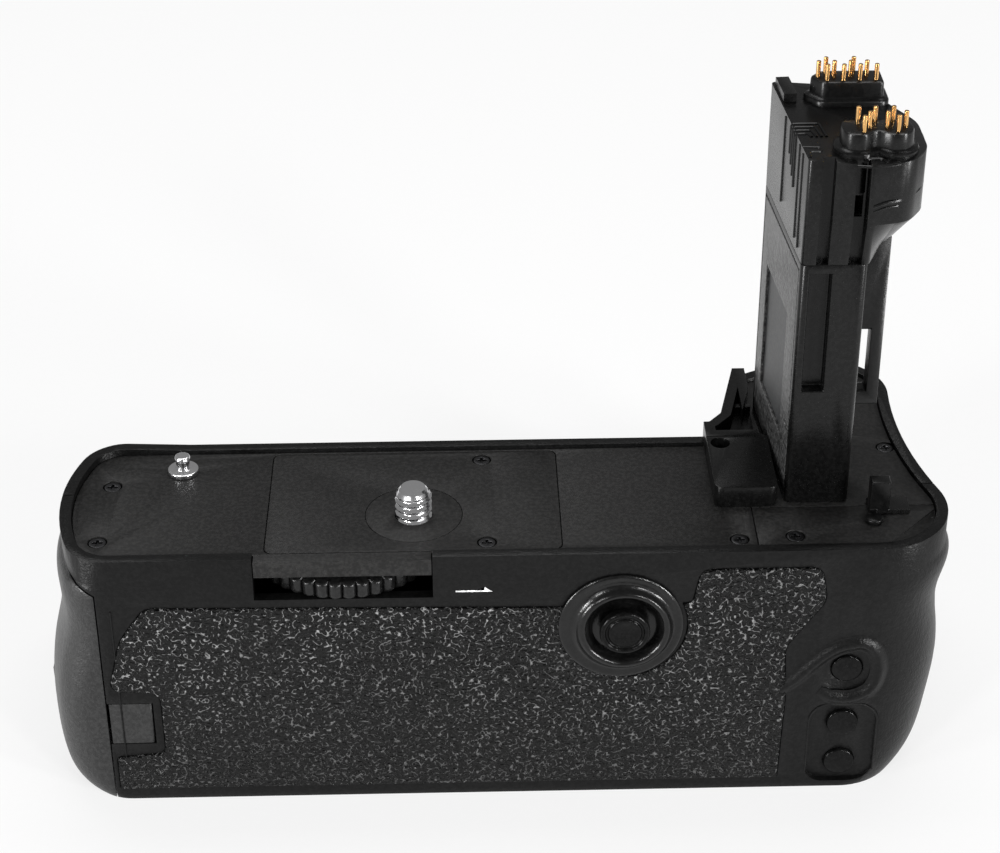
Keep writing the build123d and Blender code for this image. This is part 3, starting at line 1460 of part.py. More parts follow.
def tripod_bush():
    """Threaded bush for a tripod, flanged behind the bottom cover."""
    bush = rod_z(0, 0, 0, bush_height, bush_radius)
    bush = bush + rod_z(0, 0, base_thickness, base_thickness + bush_flange_thickness, bush_flange_radius)
    return bush - rod_z(0, 0, -overrun, socket_depth, socket_radius)


shell = shell_solid()
slab = plates_solid()
nodes = {
    "rear_shell": rear_shell(shell),
    "front_shell": front_shell(shell),
    "top_plate": top_plate(slab),
    "centre_panel": centre_panel(),
    "corner_plate": corner_plate(slab),
    "grip_plate": grip_plate(slab),
    "top_screws": top_screws(),
    "screw_collar": screw_collar(),
    "camera_screw": camera_screw(),
    "screw_clip": screw_clip(),
    "screw_gear": screw_gear(),
    "idler_gear": idler_gear(),
    "idler_axle": idler_axle(),
    "attachment_dial": attachment_dial(),
    "dial_axle": dial_axle(),
    "gear_bracket": gear_bracket(),
    "guide_pin": guide_pin(),
    "door_holder": door_holder(),
    "hook_post": hook_post(),
    "tower_column": tower_column(),
    "tower_side_panel": tower_side_panel(),
    "tower_label": tower_label(),
    "tower_head": tower_head(),
    "connector_block_1": connector_block(block_one_face(0), pins_one_rows),
    "connector_block_2": connector_block(block_two_face(0), pins_two_rows),
    "contact_pins_1": contact_pins(pins_one_rows),
    "contact_pins_2": contact_pins(pins_two_rows),
    "tower_board": tower_board(),
    "joystick_bezel": joystick_bezel(),
    "joystick_cap": joystick_cap(),
    "joystick_ring": joystick_ring(),
    "joystick_carrier": joystick_carrier(),
    "joystick_housing": joystick_housing(),
    "rear_button_1": rear_button(button_zs[0]),
    "rear_button_2": rear_button(button_zs[1]),
    "rear_button_3": rear_button(button_zs[2]),
    "button_board": button_board(),
    "shutter_button": end_button(shutter_y, shutter_z, shutter_radius, shutter_flange, shutter_rise),
    "function_button": end_button(function_y, function_z, button_radius, button_flange, function_rise),
    "control_board": control_board(),
    "main_dial": main_dial(),
    "main_dial_axle": main_dial_axle(),
    "power_lever": power_lever(),
    "main_board": main_board(),
    "battery_bay": battery_bay(),
    "bay_contacts": bay_contacts(),
    "magazine_tray": magazine_tray(),
    "tray_contacts": tray_contacts(),
    "magazine_cap": magazine_cap(),
    "magazine_screws": magazine_screws(),
    "release_knob": release_knob(),
    "latch_tongue": latch_tongue(),
    "cord_flap": cord_flap(),
    "flap_pin": flap_pin(),
    "rear_grip_skin": rear_grip_skin(),
    "front_grip_skin": front_grip_skin(),
    "bottom_plate": bottom_plate(),
    "base_screws": base_screws(),
    "tripod_bush": tripod_bush(),
}

os.makedirs("parts", exist_ok=True)
for name, node in nodes.items():
    export_step(node, os.path.join("parts", name + ".step"))
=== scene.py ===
import json
import math

import bmesh
import bpy
import numpy as np
from mathutils import Matrix, Vector

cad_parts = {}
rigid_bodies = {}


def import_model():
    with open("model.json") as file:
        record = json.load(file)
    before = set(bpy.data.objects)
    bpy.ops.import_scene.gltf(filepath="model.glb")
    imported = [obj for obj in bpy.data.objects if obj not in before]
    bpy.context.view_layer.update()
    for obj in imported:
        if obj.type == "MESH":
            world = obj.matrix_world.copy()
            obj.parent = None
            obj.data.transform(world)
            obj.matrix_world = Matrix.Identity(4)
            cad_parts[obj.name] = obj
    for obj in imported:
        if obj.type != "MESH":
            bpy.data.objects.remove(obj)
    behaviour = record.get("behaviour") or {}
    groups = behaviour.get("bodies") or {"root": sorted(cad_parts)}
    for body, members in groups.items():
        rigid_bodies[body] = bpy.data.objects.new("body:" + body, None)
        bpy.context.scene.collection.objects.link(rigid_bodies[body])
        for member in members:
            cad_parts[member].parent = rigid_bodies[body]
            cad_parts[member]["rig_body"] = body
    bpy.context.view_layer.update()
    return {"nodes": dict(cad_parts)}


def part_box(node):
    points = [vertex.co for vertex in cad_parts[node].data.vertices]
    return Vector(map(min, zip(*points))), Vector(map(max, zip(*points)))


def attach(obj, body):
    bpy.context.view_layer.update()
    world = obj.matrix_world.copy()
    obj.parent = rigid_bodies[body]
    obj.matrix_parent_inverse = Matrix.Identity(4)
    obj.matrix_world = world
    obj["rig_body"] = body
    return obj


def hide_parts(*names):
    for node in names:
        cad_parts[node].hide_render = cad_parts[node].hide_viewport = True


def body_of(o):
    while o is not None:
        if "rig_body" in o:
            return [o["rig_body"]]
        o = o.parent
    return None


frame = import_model()

# Camera battery grip: its finishes, its finer pieces, the camera and the studio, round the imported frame.

# Units and the frame's own places, in metres
MM = 0.001
TURN = 2 * math.pi
NODES = frame["nodes"]
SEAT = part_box("corner_plate")[1].z  # the face that the camera rests on
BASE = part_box("bottom_plate")[0].z  # the underside
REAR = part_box("rear_shell")[0].y  # the rear face


# ---------------------------------------------------------------- materials

MIX_FACTOR, MIX_A, MIX_B, MIX_RESULT = 0, 6, 7, 2  # a colour Mix node's sockets


class Wire:
    """One output of a finish's node. Arithmetic on wires adds the Math nodes that work it out."""

    def __init__(self, finish, socket):
        self.finish, self.socket = finish, socket

    def __add__(self, other):
        return self.finish.sum("ADD", self, other)

    __radd__ = __add__

    def __mul__(self, other):
        return self.finish.sum("MULTIPLY", self, other)

    __rmul__ = __mul__

    def __sub__(self, other):
        return self.finish.sum("SUBTRACT", self, other)

    def __rsub__(self, other):
        return self.finish.sum("SUBTRACT", other, self)


class Finish:
    """A material or world under construction, with one method that adds any node."""

    def __init__(self, name, world=None):
        self.block = world or bpy.data.materials.new(name)
        self.block.use_nodes = True
        self.tree = self.block.node_tree
        self.tree.nodes.clear()

    def node(self, kind, settings=None, sockets=None, out=0):
        """Add a node: its settings first, then its sockets by name or place, as values or wires."""
        made = self.tree.nodes.new("ShaderNode" + kind)
        for key, value in (settings or {}).items():
            setattr(made, key, value)
        for key, value in (sockets or {}).items():
            place = made.inputs[key]
            if isinstance(value, Wire):
                self.tree.links.new(value.socket, place)
            else:
                place.default_value = value
        return Wire(self, made.outputs[out]) if made.outputs else made

    def sum(self, operation, a, b):
        """Two values put together by a Math node."""
        return self.node("Math", {"operation": operation}, {0: a, 1: b})

    def ramp(self, value, low, high, start=0.0, end=1.0):
        """Smooth step of a value from one range to another, held at its ends."""
        settings = {"interpolation_type": "SMOOTHSTEP"}
        places = {"Value": value, 1: low, 2: high, 3: start, 4: end}
        return self.node("MapRange", settings, places)

    def blend(self, factor, a, b):
        """A colour between a and b."""
        settings = {"data_type": "RGBA"}
        return self.node("Mix", settings, {MIX_FACTOR: factor, MIX_A: a, MIX_B: b}, MIX_RESULT)

    def place(self):
        """The point on the object, in metres."""
        return self.node("TexCoord", out="Object")

    def noise(self, size, detail=2.0, roughness=0.5, stretch=None):
        """Noise whose grains are about size across, packed closer along each axis by its stretch."""
        where = self.place()
        if stretch:
            where = self.node("Mapping", None, {"Vector": where, "Scale": stretch})
        sockets = {"Vector": where, "Scale": 1.0 / size, "Detail": detail, "Roughness": roughness}
        return self.node("TexNoise", {"noise_dimensions": "3D"}, sockets)

    def bumped(self, *layers):
        """A normal pushed in and out by layers of height, each with its depth in metres."""
        normal = None
        for height, depth in layers:
            sockets = {"Height": height, "Distance": depth, "Strength": 1.0}
            if normal is not None:
                sockets["Normal"] = normal
            normal = self.node("Bump", None, sockets)
        return normal

    def shader(self, **sockets):
        """The surface itself, from the sockets of the Principled shader."""
        names = {key.replace("_", " "): value for key, value in sockets.items()}
        surface = self.node("BsdfPrincipled", None, names)
        self.node("OutputMaterial", None, {"Surface": surface})
        return self.block

    def rays(self, *kinds):
        """One for a ray of any of these kinds, or else zero."""
        path = self.tree.nodes.new("ShaderNodeLightPath")
        return sum((Wire(self, path.outputs[kind]) for kind in kinds[1:]), Wire(self, path.outputs[kinds[0]]))


def grey(level, tint=0.0):
    """A near-grey colour, a little warm for a positive tint."""
    return (level * (1 + tint), level, level * (1 - tint), 1.0)


# Sizes of marks that every plastic and metal shares
SCUFF_SIZE = 9 * MM
CLOUD_SIZE = 22 * MM
HAIRLINE = 0.35 * MM
SPECKLE_SIZE = 0.7 * MM
TARNISH_SIZE = 3 * MM
COARSE_GRAIN = 3.1  # over the fine grain
COARSE_DEPTH, HAIR_DEPTH = 0.8, 0.25  # of the fine grain's depth

# How much of a mark follows its own noise, where the rest follows the clouds
FINE_IN_DUST, SPECKLE_IN_PLAIN = 0.7, 0.8

# The noise from which a mark starts to show, and where it shows in full
SCUFF_RANGE = (0.56, 0.74)
DUST_RANGE = (0.60, 0.72)
SPECKLE_RANGE = (0.38, 0.66)
TARNISH_RANGE = (0.52, 0.72)

# How much each mark does to the colour, as a share or as a multiple of the plain level
SCUFF_SHARE, SCUFF_LIGHT = 0.5, 1.9
DUST_SHARE, DUST_LIGHT = 0.22, 3.0
SPECKLE_LIGHT = 1.3

# What the marks add to the roughness, and the mean of that
CLOUD_ROUGH, SCUFF_ROUGH, GRAIN_ROUGH, PLASTIC_MEAN = 0.10, 0.08, 0.08, 0.09
TURNED_ROUGH, TARNISH_ROUGH, METAL_MEAN = 0.14, 0.16, 0.07

FULL_REFLECTION = 0.08  # what the shader's own scale of reflection calls full, face on
RINGED = (1.0, 1.0, 6.0)  # packs the noise closer along z, so that turning marks run round it
COMBED = (1.0, 0.06, 0.3)  # draws the noise out along y, as fine hairlines


def index_of(reflect):
    """The index of refraction of a surface that mirrors this share of a full reflection."""
    root = math.sqrt(FULL_REFLECTION * reflect)
    return (1 + root) / (1 - root)


def moulded(name, level, rough, grain, depth, tint=0.0, reflect=0.35, scuffs=0.5, mottle=0.45):
    """Moulded plastic: a fine spark-eroded grain, cloudy gloss, dust in places and faint rubbed patches.
    The grain's size and depth are in millimetres."""
    f = Finish(name)
    grain, depth = grain * MM, depth * MM
    fine = f.noise(grain, detail=2.0, roughness=0.6)
    coarse = f.noise(grain * COARSE_GRAIN, detail=1.0)
    clouds = f.noise(CLOUD_SIZE, detail=3.0)
    rubbed = f.ramp(f.noise(SCUFF_SIZE, detail=6.0, roughness=0.72), *SCUFF_RANGE) * scuffs
    hair = f.noise(HAIRLINE, detail=1.0, stretch=COMBED)
    dust = f.ramp(fine * FINE_IN_DUST + clouds * (1 - FINE_IN_DUST), *DUST_RANGE)
    speckle = f.ramp(f.noise(SPECKLE_SIZE, detail=2.0, roughness=0.7), *SPECKLE_RANGE)
    dark, light = grey(level * (1 - mottle), tint), grey(level * (1 + mottle * SPECKLE_LIGHT), tint)
    plain = f.blend(speckle * SPECKLE_IN_PLAIN + clouds * (1 - SPECKLE_IN_PLAIN), dark, light)
    worn = f.blend(rubbed * SCUFF_SHARE, plain, grey(level * SCUFF_LIGHT, tint))
    colour = f.blend(dust * DUST_SHARE, worn, grey(level * DUST_LIGHT, tint))
    marks = clouds * CLOUD_ROUGH - rubbed * SCUFF_ROUGH + fine * GRAIN_ROUGH
    normal = f.bumped((fine, depth), (coarse, depth * COARSE_DEPTH), (hair, depth * HAIR_DEPTH))
    return f.shader(Base_Color=colour, Roughness=marks + (rough - PLASTIC_MEAN), Normal=normal,
                    IOR=index_of(reflect))


DRIFT_SIZE, DRIFT_REACH = 1.1, 1.5  # in pebbles, and so are the sizes on the next line
SWIRL_SIZE, BREAK_SIZE, PORE_SIZE = 0.80, 0.62, 0.30
CREST_DEPTH, PORE_DEPTH = 0.8, 0.2  # of the pebbles' depth
# colour of the painted highlight on the crests, which stands in for their glints
CREST_GLINT_PAINT = 0.30
CREST_WIDTH = 0.075  # of the noise on each side of its middle
CREST_SHOWS = (0.50, 0.56)
GLINT_PAINT_CLOUDS = (0.30, 0.62, 0.35, 1.0)  # the painted highlight on the crests is weaker where the cloud noise is low
GLINT_PAINT_HEIGHTS = (4.0 * MM, 38.0 * MM, 0.22, 1.0)  # and the painted highlight on the crests fades towards the base
DOME_EDGE = 0.30
# painted shade: the pits between pebbles are darkened and the domes lightened, as multiples of the level
PIT_PAINTED_SHADE, DOME_PAINTED_LIGHT = 0.5, 1.2
PIT_ROUGH, CREST_ROUGH = 0.25, 0.10
RUBBER_SPECULAR, COAT_ROUGH = 0.20, 0.16


def pebbled_rubber(name, level, rough, cell, depth):
    """Leather-grained rubber: crowded pebbles with painted shade in the pits between them, and short
    worm-like crests that catch the light and carry a painted highlight, which fades towards the base. The
    pebbles' size and depth are in millimetres."""
    f = Finish(name)
    cell, depth = cell * MM, depth * MM
    where = f.place()
    wandering = {"Vector": where, "Scale": 1 / (cell * DRIFT_SIZE), "Detail": 1.0}
    drift = f.node("TexNoise", None, wandering, "Color")
    pushed = f.node("VectorMath", {"operation": "SCALE"}, {0: drift, "Scale": cell * DRIFT_REACH})
    bent = f.node("VectorMath", {"operation": "ADD"}, {0: where, 1: pushed})
    edge = f.node("TexVoronoi", {"feature": "DISTANCE_TO_EDGE"}, {"Vector": bent, "Scale": 1 / cell})
    dome = f.ramp(edge, 0.0, DOME_EDGE)
    swirl = f.node("Math", {"operation": "ABSOLUTE"}, {0: f.noise(cell * SWIRL_SIZE, detail=0.0) - 0.5})
    broken = f.ramp(f.noise(cell * BREAK_SIZE, detail=0.0), *CREST_SHOWS)
    crest = (1 - f.ramp(swirl, 0.0, CREST_WIDTH)) * broken
    pores = f.noise(cell * PORE_SIZE, detail=2.0, roughness=0.6)
    clouds = f.noise(CLOUD_SIZE, detail=2.0)
    # painted shade in the creases between pebbles, lighter on the domes
    plain = f.blend(dome, grey(level * PIT_PAINTED_SHADE), grey(level * DOME_PAINTED_LIGHT))
    height = f.node("SeparateXYZ", None, {"Vector": where}, "Z")
    # painted highlight: the crests are lightened, less where the cloud noise is low and less towards the base
    painted_glint = f.ramp(clouds, *GLINT_PAINT_CLOUDS) * f.ramp(height, *GLINT_PAINT_HEIGHTS)
    colour = f.blend(crest * painted_glint, plain, grey(CREST_GLINT_PAINT))
    gloss = (1 - dome) * PIT_ROUGH + clouds * CLOUD_ROUGH - crest * CREST_ROUGH + rough
    normal = f.bumped((dome, depth), (crest, depth * CREST_DEPTH), (pores, depth * PORE_DEPTH))
    return f.shader(Base_Color=colour, Roughness=gloss, Normal=normal, Specular_IOR_Level=RUBBER_SPECULAR,
                    Coat_Weight=crest, Coat_Roughness=COAT_ROUGH)


TARNISH_SHARE, TARNISH_DARK = 0.5, 0.55  # how far a hollow turns to the tarnish, and its level


def metal(name, colour, rough, grain, depth):
    """Bare or plated metal: fine turning marks, cloudy gloss and a little tarnish in the hollows. The
    marks' size and depth are in millimetres."""
    f = Finish(name)
    marks = f.noise(grain * MM, detail=3.0, stretch=RINGED)
    tarnish = f.ramp(f.noise(TARNISH_SIZE, detail=4.0), *TARNISH_RANGE)
    dark = tuple(channel * TARNISH_DARK for channel in colour)
    shade = f.blend(tarnish * TARNISH_SHARE, colour + (1.0,), dark + (1.0,))
    gloss = marks * TURNED_ROUGH + tarnish * TARNISH_ROUGH + (rough - METAL_MEAN)
    return f.shader(Base_Color=shade, Metallic=1.0, Roughness=gloss, Normal=f.bumped((marks, depth * MM)))


# Name, level of grey or colour, roughness, then the grain's size and depth in millimetres
SHELL = moulded("satin shell plastic", 0.003, 0.36, 0.42, 0.07, reflect=0.18)
CAP = moulded("satin end cap plastic", 0.008, 0.40, 0.40, 0.09, reflect=0.50, mottle=0.7)
RING = moulded("glossy ring plastic", 0.003, 0.22, 0.42, 0.03, reflect=0.33)
PLATE = moulded("warm matte top plate", 0.012, 0.50, 0.36, 0.022, tint=0.02, reflect=0.22)
TOWER = moulded("semi gloss tower plastic", 0.003, 0.28, 0.45, 0.014, reflect=0.24)
SIDE = moulded("coarse side panel plastic", 0.030, 0.38, 0.55, 0.16, reflect=0.40, mottle=0.9)
LABEL = moulded("bare label film", 0.020, 0.45, 0.30, 0.006, tint=-0.03, reflect=0.3)
BUTTON = moulded("polished button plastic", 0.003, 0.20, 0.30, 0.004, reflect=0.12)
TOOTHED = moulded("ribbed dial plastic", 0.006, 0.28, 0.35, 0.010, reflect=0.32)
INNER = moulded("moulded inner plastic", 0.050, 0.55, 0.40, 0.020)
RUBBER = pebbled_rubber("pebbled grip rubber", 0.0022, 0.20, 1.25, 0.42)
BRIGHT = metal("bright plated steel", (0.86, 0.86, 0.87), 0.16, 0.30, 0.004)
BLACKED = metal("black oxide screws", (0.05, 0.05, 0.052), 0.34, 0.25, 0.006)
GOLD = metal("gold plated pins", (0.62, 0.36, 0.14), 0.14, 0.25, 0.004)
BRASS = metal("machined brass gears", (0.80, 0.62, 0.30), 0.32, 0.25, 0.010)
ALLOY = metal("satin aluminium", (0.62, 0.62, 0.64), 0.38, 0.25, 0.010)
BOARD = moulded("dark board lacquer", 0.030, 0.35, 0.80, 0.010)
PAINT = moulded("white mark paint", 0.750, 0.50, 0.30, 0.004, scuffs=0.1)

NODES_OF = {
    SHELL: ("rear_shell", "front_shell", "bottom_plate"),
    CAP: ("magazine_cap", "cord_flap", "release_knob"),
    PLATE: ("top_plate", "centre_panel", "corner_plate", "grip_plate", "screw_collar"),
    TOWER: ("door_holder", "hook_post", "tower_column", "tower_head", "connector_block_1",
            "connector_block_2"),
    SIDE: ("tower_side_panel",),
    LABEL: ("tower_label",),
    BUTTON: ("joystick_bezel", "joystick_cap", "joystick_ring", "rear_button_1", "rear_button_2",
             "rear_button_3", "shutter_button", "function_button", "power_lever"),
    TOOTHED: ("attachment_dial", "main_dial"),
    INNER: ("joystick_carrier", "joystick_housing", "battery_bay", "magazine_tray", "latch_tongue",
            "flap_pin"),
    RUBBER: ("rear_grip_skin", "front_grip_skin"),
    BRIGHT: ("camera_screw", "guide_pin", "screw_clip", "idler_axle", "dial_axle", "main_dial_axle",
             "tripod_bush"),
    BLACKED: ("top_screws", "base_screws", "magazine_screws"),
    GOLD: ("contact_pins_1", "contact_pins_2", "bay_contacts", "tray_contacts"),
    BRASS: ("screw_gear", "idler_gear"),
    ALLOY: ("gear_bracket",),
    BOARD: ("tower_board", "button_board", "control_board", "main_board"),
}
FINISH_OF = {node: finish for finish, nodes in NODES_OF.items() for node in nodes}
for node, finish in FINISH_OF.items():
    mesh = NODES[node].data
    mesh.materials.clear()
    mesh.materials.append(finish)


# ---------------------------------------------------------------- tools for pieces

WELD = 0.0005 * MM  # points nearer than this are one
SHARP = math.radians(38.0)  # edges sharper than this aren't smoothed over
FLAT = math.radians(0.4)  # faces that turn less than this are one
BEVEL_FROM = math.radians(35.0)  # edges sharper than this are eased
NO_LENGTH = 1e-12  # keeps a vector of no length from dividing by zero
BEFORE_LAST = 1e-9  # keeps the end of a path inside its last span
LOOP_FINENESS = 3  # points on a closed curve for each one asked for
AXES = {"y": (0, 2, 1), "z": (0, 1, 2)}  # the two axes across, then the one along


def shown(name, mesh, finish, body, stands_for=()):
    """Put a finished mesh in the scene, on its body, in place of the CAD nodes it stands for."""
    mesh.materials.clear()
    mesh.materials.append(finish)
    made = bpy.data.objects.new(name, mesh)
    bpy.context.scene.collection.objects.link(made)
    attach(made, body)
    if stands_for:
        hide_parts(*stands_for)
    return made


def home(node):
    """The body that a node rides on."""
    return body_of(NODES[node])[0]


def replaced(node, name, mesh, finish):
    """Put a finished mesh in the place of one node."""
    return shown(name, mesh, finish, home(node), (node,))


def centre_of(node):
    """The middle of a node's box."""
    low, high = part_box(node)
    return (np.array(low) + np.array(high)) / 2


def mesh_of(name, *grids):
    """One smooth mesh from grids of points. Row i is joined to row i + 1, and its last column to its first.
    A row that is one point closes as a pole."""
    points, faces, start = [], [], 0
    for grid in grids:
        rows, columns = grid.shape[:2]
        index = np.arange(rows * columns).reshape(rows, columns) + start
        index = np.concatenate([index, index[:, :1]], axis=1)
        quads = np.stack([index[:-1, :-1], index[:-1, 1:], index[1:, 1:], index[1:, :-1]], axis=-1)
        points.append(grid.reshape(-1, 3))
        faces.append(quads.reshape(-1, 4))
        start += rows * columns
    mesh = bpy.data.meshes.new(name)
    mesh.from_pydata(np.concatenate(points).tolist(), [], np.concatenate(faces).tolist())
    work = bmesh.new()
    work.from_mesh(mesh)
    bmesh.ops.remove_doubles(work, verts=work.verts, dist=WELD)
    bmesh.ops.recalc_face_normals(work, faces=work.faces)
    work.to_mesh(mesh)
    work.free()
    mesh.polygons.foreach_set("use_smooth", np.full(len(mesh.polygons), True))
    mesh.set_sharp_from_angle(angle=SHARP)
    mesh.update()
    return mesh


def unit(vectors):
    """Vectors brought to length one."""
    return vectors / (np.linalg.norm(vectors, axis=1, keepdims=True) + NO_LENGTH)


def eased(corners, radius, steps=5):
    """A run of corners with each inner corner rounded: the round is the quadratic curve between points set
    back from the corner by the radius, or by half of a short side."""
    corners = np.asarray(corners, float)
    radii = np.broadcast_to(radius, len(corners))
    s = np.linspace(0, 1, steps)[:, None]
    run = [corners[:1]]
    for k in range(1, len(corners) - 1):
        before, here, after = corners[k - 1:k + 2]
        back, on = before - here, after - here
        reach = min(radii[k], np.linalg.norm(back) * 0.5, np.linalg.norm(on) * 0.5)
        a = here + back / np.linalg.norm(back) * reach
        b = here + on / np.linalg.norm(on) * reach
        run.append((1 - s) ** 2 * a + 2 * s * (1 - s) * here + s ** 2 * b)
    run.append(corners[-1:])
    return np.concatenate(run)


def smooth_path(points, count):
    """Points evenly along a Catmull-Rom curve through the given ones: at share s of a span it is the sum of
    four neighbours times (-s + 2s^2 - s^3, 2 - 5s^2 + 3s^3, s + 4s^2 - 3s^3, -s^2 + s^3) / 2."""
    p = np.asarray(points, float)
    p = np.concatenate([2 * p[:1] - p[1:2], p, 2 * p[-1:] - p[-2:-1]])
    at = np.linspace(0, len(p) - 3 - BEFORE_LAST, count)
    k, s = at.astype(int), (at % 1)[:, None]
    a, b, c, d = p[k], p[k + 1], p[k + 2], p[k + 3]
    return 0.5 * (a * (-s + 2 * s ** 2 - s ** 3) + b * (2 - 5 * s ** 2 + 3 * s ** 3)
                  + c * (s + 4 * s ** 2 - 3 * s ** 3) + d * (-s ** 2 + s ** 3))


def smooth_loop(points, count):
    """Points evenly along a closed Catmull-Rom curve."""
    p = np.asarray(points, float)
    p = np.concatenate([p, p[:1]])
    run = smooth_path(np.concatenate([p[-2:-1], p, p[1:2]]), count * LOOP_FINENESS)
    spans = len(p) + 1
    share = np.linspace(0, spans, count * LOOP_FINENESS)
    return run[(share >= 1) & (share < spans - 1)]


def turned(profile, axis, centre, columns, ripple=None, shift=None):
    """A grid that carries (along, out) profile points round an axis: the point at angle a is the centre
    plus out * cos a and out * sin a across the axis. ripple(a, along, out) alters out, and shift is how far
    the middle of each profile point moves across."""
    along, out = profile[:, :1], profile[:, 1:2]
    angle = np.linspace(0, TURN, columns, endpoint=False)[None, :]
    radius = out * np.ones_like(angle) if ripple is None else ripple(angle, along, out)
    first, second, third = AXES[axis]
    grid = np.zeros(radius.shape + (3,))
    grid[..., first] = radius * np.cos(angle)
    grid[..., second] = radius * np.sin(angle)
    grid[..., third] = along
    if shift is not None:
        grid[..., first] += shift[:, :1]
        grid[..., second] += shift[:, 1:]
    return grid + np.asarray(centre, float)


def bead(name, points, radius, out, node, corner=0.5, sides=8):
    """A round bead along a path of (x, y, z) points in millimetres with eased corners, closed at both ends.
    Its section lies across the path: side = along x out, and each ring is the path's point plus
    radius * (cos a side + sin a up)."""
    path = eased(points, corner) * MM
    along = unit(np.gradient(path, axis=0))
    side = unit(np.cross(along, np.asarray(out, float)))
    up = np.cross(side, along)
    path, side, up = (np.concatenate([v[:1], v, v[-1:]])[:, None, :] for v in (path, side, up))
    angle = np.linspace(0, TURN, sides, endpoint=False)[None, :, None]
    size = np.full((len(path), 1, 1), radius * MM)
    size[0] = size[-1] = 0
    ring = path + size * (np.cos(angle) * side + np.sin(angle) * up)
    return shown(name, mesh_of(name, ring), FINISH_OF[node], home(node))


def softened(widths, segments):
    """Ease the edges of nodes: each is a merged copy of its own mesh, with a bevel on every sharp edge of
    the width, in millimetres, that the table gives it."""
    for node, width in widths.items():
        mesh = NODES[node].data.copy()
        work = bmesh.new()
        work.from_mesh(mesh)
        bmesh.ops.remove_doubles(work, verts=work.verts, dist=WELD)
        bmesh.ops.dissolve_limit(work, angle_limit=FLAT, verts=work.verts, edges=work.edges)
        work.to_mesh(mesh)
        work.free()
        mesh.polygons.foreach_set("use_smooth", np.full(len(mesh.polygons), True))
        bevel = replaced(node, node + "_eased", mesh, FINISH_OF[node]).modifiers.new("eased edges", "BEVEL")
        bevel.width, bevel.segments = width * MM, segments
        bevel.limit_method, bevel.angle_limit = "ANGLE", BEVEL_FROM
        bevel.harden_normals = True


# ---------------------------------------------------------------- body and tower, with their edges eased

softened({"rear_shell": 0.3, "front_shell": 0.3, "magazine_cap": 0.3, "top_plate": 0.15, "tower_head": 0.3,
          "tower_column": 0.3, "door_holder": 0.3, "hook_post": 0.3, "cord_flap": 0.15}, segments=2)


# ---- camera screw: a quarter-inch thread with a coned tip

THREAD_RADIUS, THREAD_PITCH, THREAD_DEPTH = 3.175 * MM, 1.27 * MM, 0.55 * MM
THREAD_SINK = 1.2 * MM  # how far below the seat the thread starts
SHANK_RADIUS, SHANK_EASE = 2.2 * MM, 0.1 * MM
CONE_BELOW_TIP = np.array([1.5, 0.35, 0]) * MM
CONE_RADIUS = np.array([THREAD_RADIUS, 2.45 * MM, 2.1 * MM])
SCREW_ROWS, SCREW_COLUMNS = 90, 72


def camera_screw():
    """The thread's radius falls below the crest by depth * sqrt(0.5 - 0.5 cos(2 pi height / pitch - angle)),
    and never passes the coned tip."""
    low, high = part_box("camera_screw")
    start = SEAT - THREAD_SINK
    height = np.linspace(start, high.z, SCREW_ROWS)[:, None]
    angle = np.linspace(0, TURN, SCREW_COLUMNS, endpoint=False)[None, :]
    groove = np.sqrt(0.5 - 0.5 * np.cos(TURN * (height - start) / THREAD_PITCH - angle))
    radius = np.minimum(THREAD_RADIUS - THREAD_DEPTH * groove,
                        np.interp(height, high.z - CONE_BELOW_TIP, CONE_RADIUS))
    thread = np.stack([radius * np.cos(angle), radius * np.sin(angle), height + 0 * angle], axis=-1)
    rim = thread[-1:]
    middle = rim.mean(axis=1, keepdims=True)
    tip = np.concatenate([middle + (rim - middle) * share for share in (1.0, 0.5, 0.0)])
    profile = eased([(low.z, 0), (low.z, SHANK_RADIUS), (start, SHANK_RADIUS),
                     (start, THREAD_RADIUS - THREAD_DEPTH)], SHANK_EASE)
    mesh = mesh_of("camera screw", thread, tip, turned(profile, "z", (0, 0, 0), SCREW_COLUMNS))
    return replaced("camera_screw", "camera_screw_thread", mesh, BRIGHT)


camera_screw()


# ---- guide pin

STEM_RADIUS, FLANGE_RADIUS, FLANGE_HEIGHT = 1.3 * MM, 2.7 * MM, 0.9 * MM
WAIST_LOW, WAIST_HIGH, WAIST_STEP = 1.25 * MM, 1.2 * MM, 0.05 * MM
PIN_HEAD_RADIUS, PIN_HEAD_HEIGHT, PIN_HEAD_SLOPE, PIN_TIP_RADIUS = 1.45 * MM, 0.8 * MM, 0.3 * MM, 1.2 * MM
PIN_EASE = 0.22 * MM
PIN_COLUMNS = 48


def guide_pin():
    """A stem, a flange, a waist and a domed head, turned about the pin's own axis."""
    low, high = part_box("guide_pin")
    middle = centre_of("guide_pin")
    neck = high.z - PIN_HEAD_HEIGHT
    profile = eased([(low.z, 0), (low.z, STEM_RADIUS), (SEAT, STEM_RADIUS), (SEAT, FLANGE_RADIUS),
                     (SEAT + FLANGE_HEIGHT, FLANGE_RADIUS), (SEAT + FLANGE_HEIGHT + WAIST_STEP, WAIST_LOW),
                     (neck, WAIST_HIGH), (neck + PIN_HEAD_SLOPE, PIN_HEAD_RADIUS), (high.z, PIN_TIP_RADIUS),
                     (high.z, 0)], PIN_EASE, 6)
    grid = turned(profile, "z", (middle[0], middle[1], 0), PIN_COLUMNS)
    return replaced("guide_pin", "guide_pin_turned", mesh_of("guide pin", grid), BRIGHT)


guide_pin()


# ---- attachment dial

